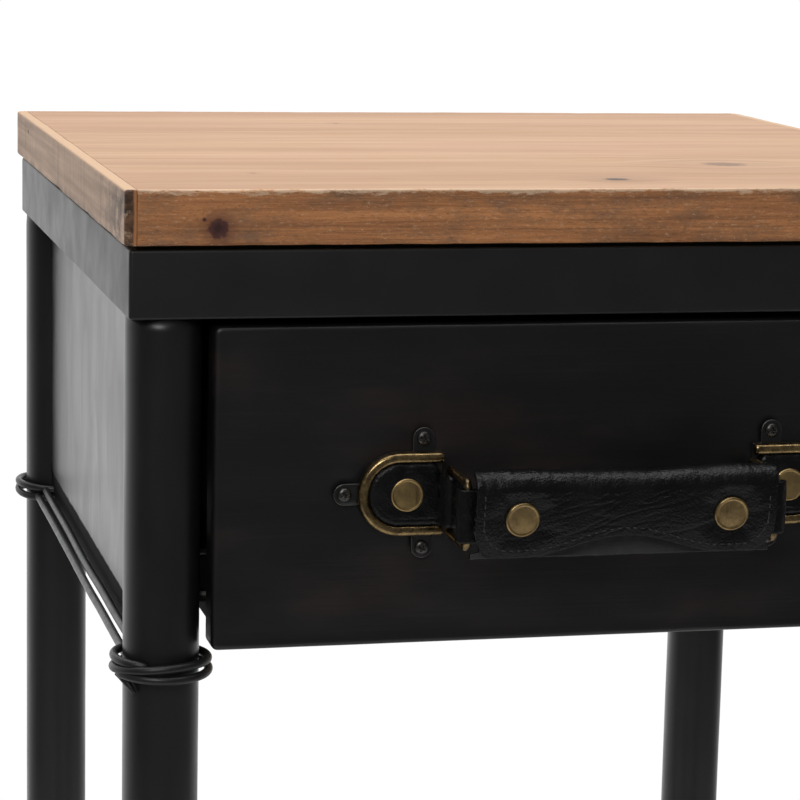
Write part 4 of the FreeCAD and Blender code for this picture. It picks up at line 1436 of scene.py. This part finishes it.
def gripDent(along, up, part):
    # how far the leather stands in (minus) or out at a place: rivet dimples, creases, grain, slack
    g = gripShape
    depth = 0.0
    if part < 0.47:
        for sign in (-1, 1):
            dx, dz = along - sign * g["rivetAlong"], up - g["rivetUp"]
            away = math.hypot(dx, dz)
            depth -= g["dimple"] * math.exp(-(away / g["dimpleReach"]) ** 2)
            depth += g["swell"] * math.exp(-((away - 0.0125) / 0.0040) ** 2)
            # creases that run out from the rivet
            angle = math.atan2(dz, dx)
            reach = math.exp(-((away - 0.011) / 0.0065) ** 2)
            waver = 0.8 * unevenness((along, up, 3), 130, 2)
            depth -= g["ray"] * reach * max(0.0, math.sin(angle * 7 + sign * 1.3 + waver))
    # long creases drawn up from the left rivet and along the middle
    slant = up - 0.30 * along
    long = unevenness((along * 0.35, slant * 2.6, 0.2), 150, 11)
    crease = max(0.0, 0.55 - abs(long) * 3.2)
    middle = math.exp(-((along + 0.004) / 0.030) ** 2)
    onFront = softStep((0.47 - part) / 0.05)
    depth -= g["wrinkle"] * crease * (0.25 + 0.75 * middle) * onFront * softStep((up + 0.015) / 0.008)
    # the roll is puckered
    onRoll = math.exp(-((part - 0.49) / 0.075) ** 2)
    pucker = unevenness((along, up * 0.5, part * 0.02), 330, 5) + 0.6 * unevenness((along, up, part * 0.02), 620, 6)
    depth += onRoll * (g["pucker"] * pucker - 0.00008)
    depth += g["pebble"] * unevenness((along, up, part * 0.05), 800, 8) * (0.4 + 0.9 * onRoll)
    return depth + g["slack"] * unevenness((along, up, 0.0), 55, 12)


def gripSurface(along, part, lift=0.0):
    g = gripShape
    out, up = gripLine(along, part)
    near, far = gripLine(along, max(part - 0.004, 0)), gripLine(along, min(part + 0.004, 1))
    tangent = Vector((far[0] - near[0], far[1] - near[1]))
    normal = Vector((tangent.y, -tangent.x)).normalized()
    if part < g["foldStart"]:
        normal = Vector(g["flapFaces"])
    slack = g["sag"] * math.cos(math.pi / 2 * min(1, abs(along) / g["halfLength"])) ** 2
    slack *= softStep((up + 0.006) / 0.016)
    hump = g["hump"] * math.exp(-((along - 0.040) / 0.010) ** 2) * math.exp(-((part - 0.5) / 0.08) ** 2)
    depth = gripDent(along, up, part) + lift + hump
    return handlePoint(along, out + normal.x * depth, up + normal.y * depth - slack)


def backReach(part):
    # half the leather's length: less behind the fold, full again at the back's edge
    g = gripShape
    if part <= 0.52:
        return g["halfLength"]
    up = gripLine(0, part)[1]
    full = softStep((-0.0164 - up) / 0.0006)
    narrow = softStep((part - 0.52) / 0.04)
    return g["halfLength"] + (g["backHalfLength"] - g["halfLength"]) * narrow * (1 - full)


def makeGrip():
    g = gripShape
    columns, rows = g["columns"], g["rows"]
    points = []
    for row in range(rows + 1):
        part = row / rows
        for column in range(columns + 1):
            even = -1 + 2 * column / columns
            spread = 0.35 * math.sin(math.pi / 2 * even) + 0.65 * even   # closer together at the ends
            points.append(gripSurface(spread * backReach(part), part))
    piece = standFor("grip_cover", (points, gridFaces(rows, columns)), "grip", "leather")
    middle = piece.data.polygons[columns // 2 + 20 * columns]
    if middle.normal.y > 0:
        piece.data.flip_normals()
    piece.data.materials.append(finish["flesh"])
    applyModifier(piece, "SOLIDIFY", thickness=g["leather"], offset=-1.0, material_offset=1,
                  material_offset_rim=0)


def makeStitches():
    # short threads in a line just inside the flap's edge
    g = gripShape
    end, top = g["halfLength"] - g["seamInset"], g["seamTop"]
    bend = g["flapLow"] + g["cornerRadius"]
    upright, long = 60, 400
    edge = [(-end, top + (bend - top) * step / upright) for step in range(upright)]
    for step in range(long + 1):
        along = -end + 2 * end * step / long
        edge.append((along, flapEdge(along * g["halfLength"] / end) + g["seamInset"]))
    edge += [(end, bend + (top - bend) * (step + 1) / upright) for step in range(upright)]
    travelled, marks = 0.0, [0.0]
    for before, after in zip(edge, edge[1:]):
        travelled += math.hypot(after[0] - before[0], after[1] - before[1])
        marks.append(travelled)

    def onSeam(distance):
        low, high = 0, len(marks) - 1
        while high - low > 1:
            half = (low + high) // 2
            low, high = (half, high) if marks[half] <= distance else (low, half)
        share = (distance - marks[low]) / max(marks[high] - marks[low], 1e-9)
        return (edge[low][0] + (edge[high][0] - edge[low][0]) * share,
                edge[low][1] + (edge[high][1] - edge[low][1]) * share)

    def onLeather(along, up, lift):
        low = flapEdge(along)
        share = (up - low) / (g["centreUp"] - low)
        return gripSurface(along, g["foldStart"] * min(max(share, 0), 1), lift)

    stitches = []
    number = 0
    while number * g["stitchPitch"] < travelled - g["stitch"]:
        start = number * g["stitchPitch"]
        path = []
        for step in range(7):
            share = step / 6
            along, up = onSeam(start + g["stitch"] * share)
            path.append(onLeather(along, up, -g["threadSink"] + g["threadArch"] * math.sin(math.pi * share)))
        stitches.append(sweep(path, lambda part: g["thread"] * (0.55 + 0.45 * math.sin(math.pi * part)), 7))
        number += 1
    piece = addPiece("gripStitches", *join(stitches), "grip", "thread")


loopShape = {
    "half": 0.0096,
    "reachOut": 0.0042,
    "thick": 0.0030,
    "endThick": 0.0020,           # inside the grip
    "skin": 0.0015,
    "inner": 0.0340,
    "wave": 0.00025,
}


def makeLoops():
    s = loopShape
    centre, out = handle["ringAlong"], handle["ringFar"]

    def strap(part, side):
        thick = side * s["endThick"] + side * (s["thick"] - s["endThick"]) * softStep(part)
        return s["inner"] + (centre - s["inner"]) * part, out + thick

    line = [strap(step / 12, 1) for step in range(13)]
    for step in range(1, 20):
        angle = math.pi / 2 - math.pi * step / 20
        line.append((centre + s["reachOut"] * math.cos(angle), out + s["thick"] * math.sin(angle)))
    line += [strap(1 - step / 12, -1) for step in range(13)]
    points = []
    across = [-1 + 2 * n / 30 for n in range(31)]
    for along, place in line:
        for part in across:
            up = handle["ringUp"] + s["half"] * part
            wave = s["wave"] * unevenness((along, up, place), 300, 6)
            away = along - centre
            grow = 1 + 0.05 * unevenness((up, 0.3, along * 0.1), 160, 3)
            points.append(handlePoint(-(centre + away * grow + (wave if away > 0 else 0)), place + wave, up))
    row = len(across)
    shape = points, gridFaces(len(line) - 1, row - 1)
    for outward, piece in zip((-1, 1), bothSides("grip_loop_", shape, "grip", "leather")):
        bend = piece.data.polygons[(len(line) // 2) * (row - 1) + row // 2]
        if bend.normal.x * outward < 0:
            piece.data.flip_normals()
        applyModifier(piece, "SOLIDIFY", thickness=s["skin"], offset=-1.0)


rivetShape = {
    "tabRadius": 0.0063,
    "tabHeight": 0.0016,
    "gripRadius": 0.0065,
    "gripHeight": 0.0015,
    "backRadius": 0.0045,
    "backHeight": 0.0012,
    "shank": 0.0020,
    "tabShank": 0.001,
    "lean": 0.05,                 # how far the grip's caps lean outward and up
    "tilt": 0.03,
    "tabSink": 0.0003,
    "gripSink": 0.00035,
    "backSink": 0.0006,
}


def capRows(radius, height):
    # a pressed cap: a rolled rim, a shallow groove inside it, and a slightly domed middle
    outline = ((0.985, 0.0), (1, 0.28), (0.992, 0.55), (0.965, 0.80), (0.925, 0.95), (0.885, 0.985), (0.85, 0.93),
               (0.82, 0.88), (0.76, 0.88), (0.55, 0.95), (0.30, 1.0))
    return [(radius * 0.90, -0.0004)] + [(radius * out, height * up) for out, up in outline]


def makeRivets():
    r = rivetShape
    ahead, sideways, upward = Vector((0, -1, 0)), Vector((1, 0, 0)), Vector((0, 0, 1))
    caps = []
    for middle in rowsOf("tab_rivets"):
        seat = Vector((middle.x, frontY - handle["plate"] - tabShape["rise"] + r["tabSink"], middle.z))
        caps.append(turned(capRows(r["tabRadius"], r["tabHeight"]), seat, sideways, upward, ahead))
        shank = [(r["shank"], 0.0), (r["shank"], r["tabShank"])]
        caps.append(turned(shank, seat, sideways, upward, -ahead, 20))
    fixFacing(standFor("tab_rivets", join(caps), "drawer", "rivet"))
    g = gripShape
    normal = Vector((0, -g["flapFaces"][0], g["flapFaces"][1]))
    caps = []
    for sign in (-1, 1):
        share = (g["rivetUp"] - g["flapLow"]) / (g["centreUp"] - g["flapLow"])
        out = g["flapFoot"] + (g["centreOut"] + g["fold"] - g["flapFoot"]) * share
        seat = handlePoint(sign * g["rivetAlong"], out - r["gripSink"], g["rivetUp"])
        tip = normal + Vector((r["lean"] * -sign, 0, r["tilt"]))
        tip.normalize()
        across = (sideways - tip * sideways.dot(tip)).normalized()
        caps.append(turned(capRows(r["gripRadius"], r["gripHeight"]), seat, across, tip.cross(across), tip))
        back = handlePoint(sign * g["rivetAlong"], g["centreOut"] - g["fold"] + r["backSink"], g["rivetUp"])
        caps.append(turned(capRows(r["backRadius"], r["backHeight"]), back, -sideways, upward, -ahead))
        shank = [(r["shank"], 0.0), (r["shank"], (seat - back).length)]
        caps.append(turned(shank, seat, across, tip.cross(across), -tip, 20))
    fixFacing(standFor("grip_rivets", join(caps), "grip", "gripRivet"))


screwShape = {
    "radius": 0.0026,
    "height": 0.0014,
    "slot": 0.00042,
    "slotReach": 0.0016,
    "slotFade": 0.0004,
    "slotDepth": 0.0007,
    "foot": 0.0003,
    "weld": 0.000002,
    "rings": 14,
    "sides": 72,
    "twists": (20, 65, -12, 38, 5, 74),   # degrees
}


def makeScrews():
    # domed cross-head screws; the cross is pressed into the dome
    s = screwShape
    parts = []
    rings, sides = s["rings"], s["sides"]
    for middle, degrees in zip(rowsOf("plate_screws"), s["twists"]):
        seat = Vector((middle.x, frontY - handle["plate"], middle.z))
        twist = math.radians(degrees)
        turnAcross, turnUp = math.cos(twist), math.sin(twist)
        points, faces = [], []
        for ring in range(rings + 1):
            radius = s["radius"] * ring / rings
            for side in range(sides):
                angle = 2 * math.pi * side / sides
                a, b = radius * math.cos(angle), radius * math.sin(angle)
                p, q = abs(a * turnAcross + b * turnUp), abs(b * turnAcross - a * turnUp)
                share = radius / s["radius"]
                dome = s["height"] * math.sqrt(max(0.0, 1 - (share * 0.97) ** 2.6))
                arm = max(0.0, 1 - min(p, q) / s["slot"]) if max(p, q) < s["slotReach"] else 0.0
                fade = softStep((s["slotReach"] - max(p, q)) / s["slotFade"])
                points.append(seat + Vector((a, -(dome - s["slotDepth"] * min(1, arm * 2) * fade), b)))
        for ring in range(rings):
            for side in range(sides):
                a, b = ring * sides + side, ring * sides + (side + 1) % sides
                faces.append((a, b, b + sides, a + sides) if ring else (a, b + sides, a + sides))
        foot = len(points)
        for side in range(sides):
            angle = 2 * math.pi * side / sides
            points.append(seat + Vector((s["radius"] * math.cos(angle), s["foot"], s["radius"] * math.sin(angle))))
        last = rings * sides
        for side in range(sides):
            a, b = side, (side + 1) % sides
            faces.append((last + a, last + b, foot + b, foot + a))
        parts.append((points, faces))
    piece = standFor("plate_screws", join(parts), "drawer", "screw")
    work = bmesh.new()
    work.from_mesh(piece.data)
    bmesh.ops.remove_doubles(work, verts=work.verts, dist=s["weld"])
    bmesh.ops.recalc_face_normals(work, faces=work.faces)
    work.to_mesh(piece.data)
    work.free()
    for polygon in piece.data.polygons:
        polygon.use_smooth = True


def easedCopy(node, look, width, edgeLook=None):
    # pieces whose design shape is right and only needs its edges eased
    mesh = frame["nodes"][node].data.copy()
    mesh.materials.clear()
    mesh.materials.append(finish[look])
    piece = bpy.data.objects.new(pieceName(node), mesh)
    bpy.context.scene.collection.objects.link(piece)
    work = bmesh.new()
    work.from_mesh(mesh)
    bmesh.ops.remove_doubles(work, verts=work.verts, dist=0.00001)
    bmesh.ops.dissolve_limit(work, angle_limit=math.radians(1), verts=work.verts, edges=work.edges)
    work.to_mesh(mesh)
    work.free()
    for polygon in mesh.polygons:
        polygon.use_smooth = True
    body = next(key for key, names in frame["record"]["behaviour"]["bodies"].items() if node in names)
    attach(piece, body)
    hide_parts(node)
    if edgeLook:
        mesh.materials.append(finish[edgeLook])
    applyModifier(piece, "BEVEL", width=width, segments=3, limit_method="ANGLE",
                  angle_limit=math.radians(35), harden_normals=True, use_clamp_overlap=True,
                  material=1 if edgeLook else -1)


easedEdges = {
    # the handle plates' bevels get a lighter steel: edge wear and painted highlight together
    "handle_plate_left": ("plate", 0.00036, "edgeWearAndHighlight"), "handle_plate_right": ("plate", 0.00036, "edgeWearAndHighlight"),
    # the drawer box's black is partly painted shade for the gap beside the legs
    "drawer_side_left": ("drawerSide", 0.0006), "drawer_side_right": ("drawerSide", 0.0006),
    "drawer_back": ("drawerSide", 0.0006), "corner_blocks": ("plywood", 0.0005),
    "rail_left": ("rail", 0.0005), "rail_right": ("rail", 0.0005),
    "runner_left": ("inner", 0.0003), "runner_right": ("inner", 0.0003),
    "rear_crossbar": ("inner", 0.0003), "top_brackets": ("inner", 0.0003),
    "stop_lugs": ("inner", 0.0003), "foot_caps": ("rubber", 0.0006),
}


print("handle")
makeRims()
makeTabs()
makeRings()
makeGrip()
makeStitches()
makeLoops()
makeRivets()
makeScrews()
print("eased edges")
for node, values in easedEdges.items():
    easedCopy(node, *values)
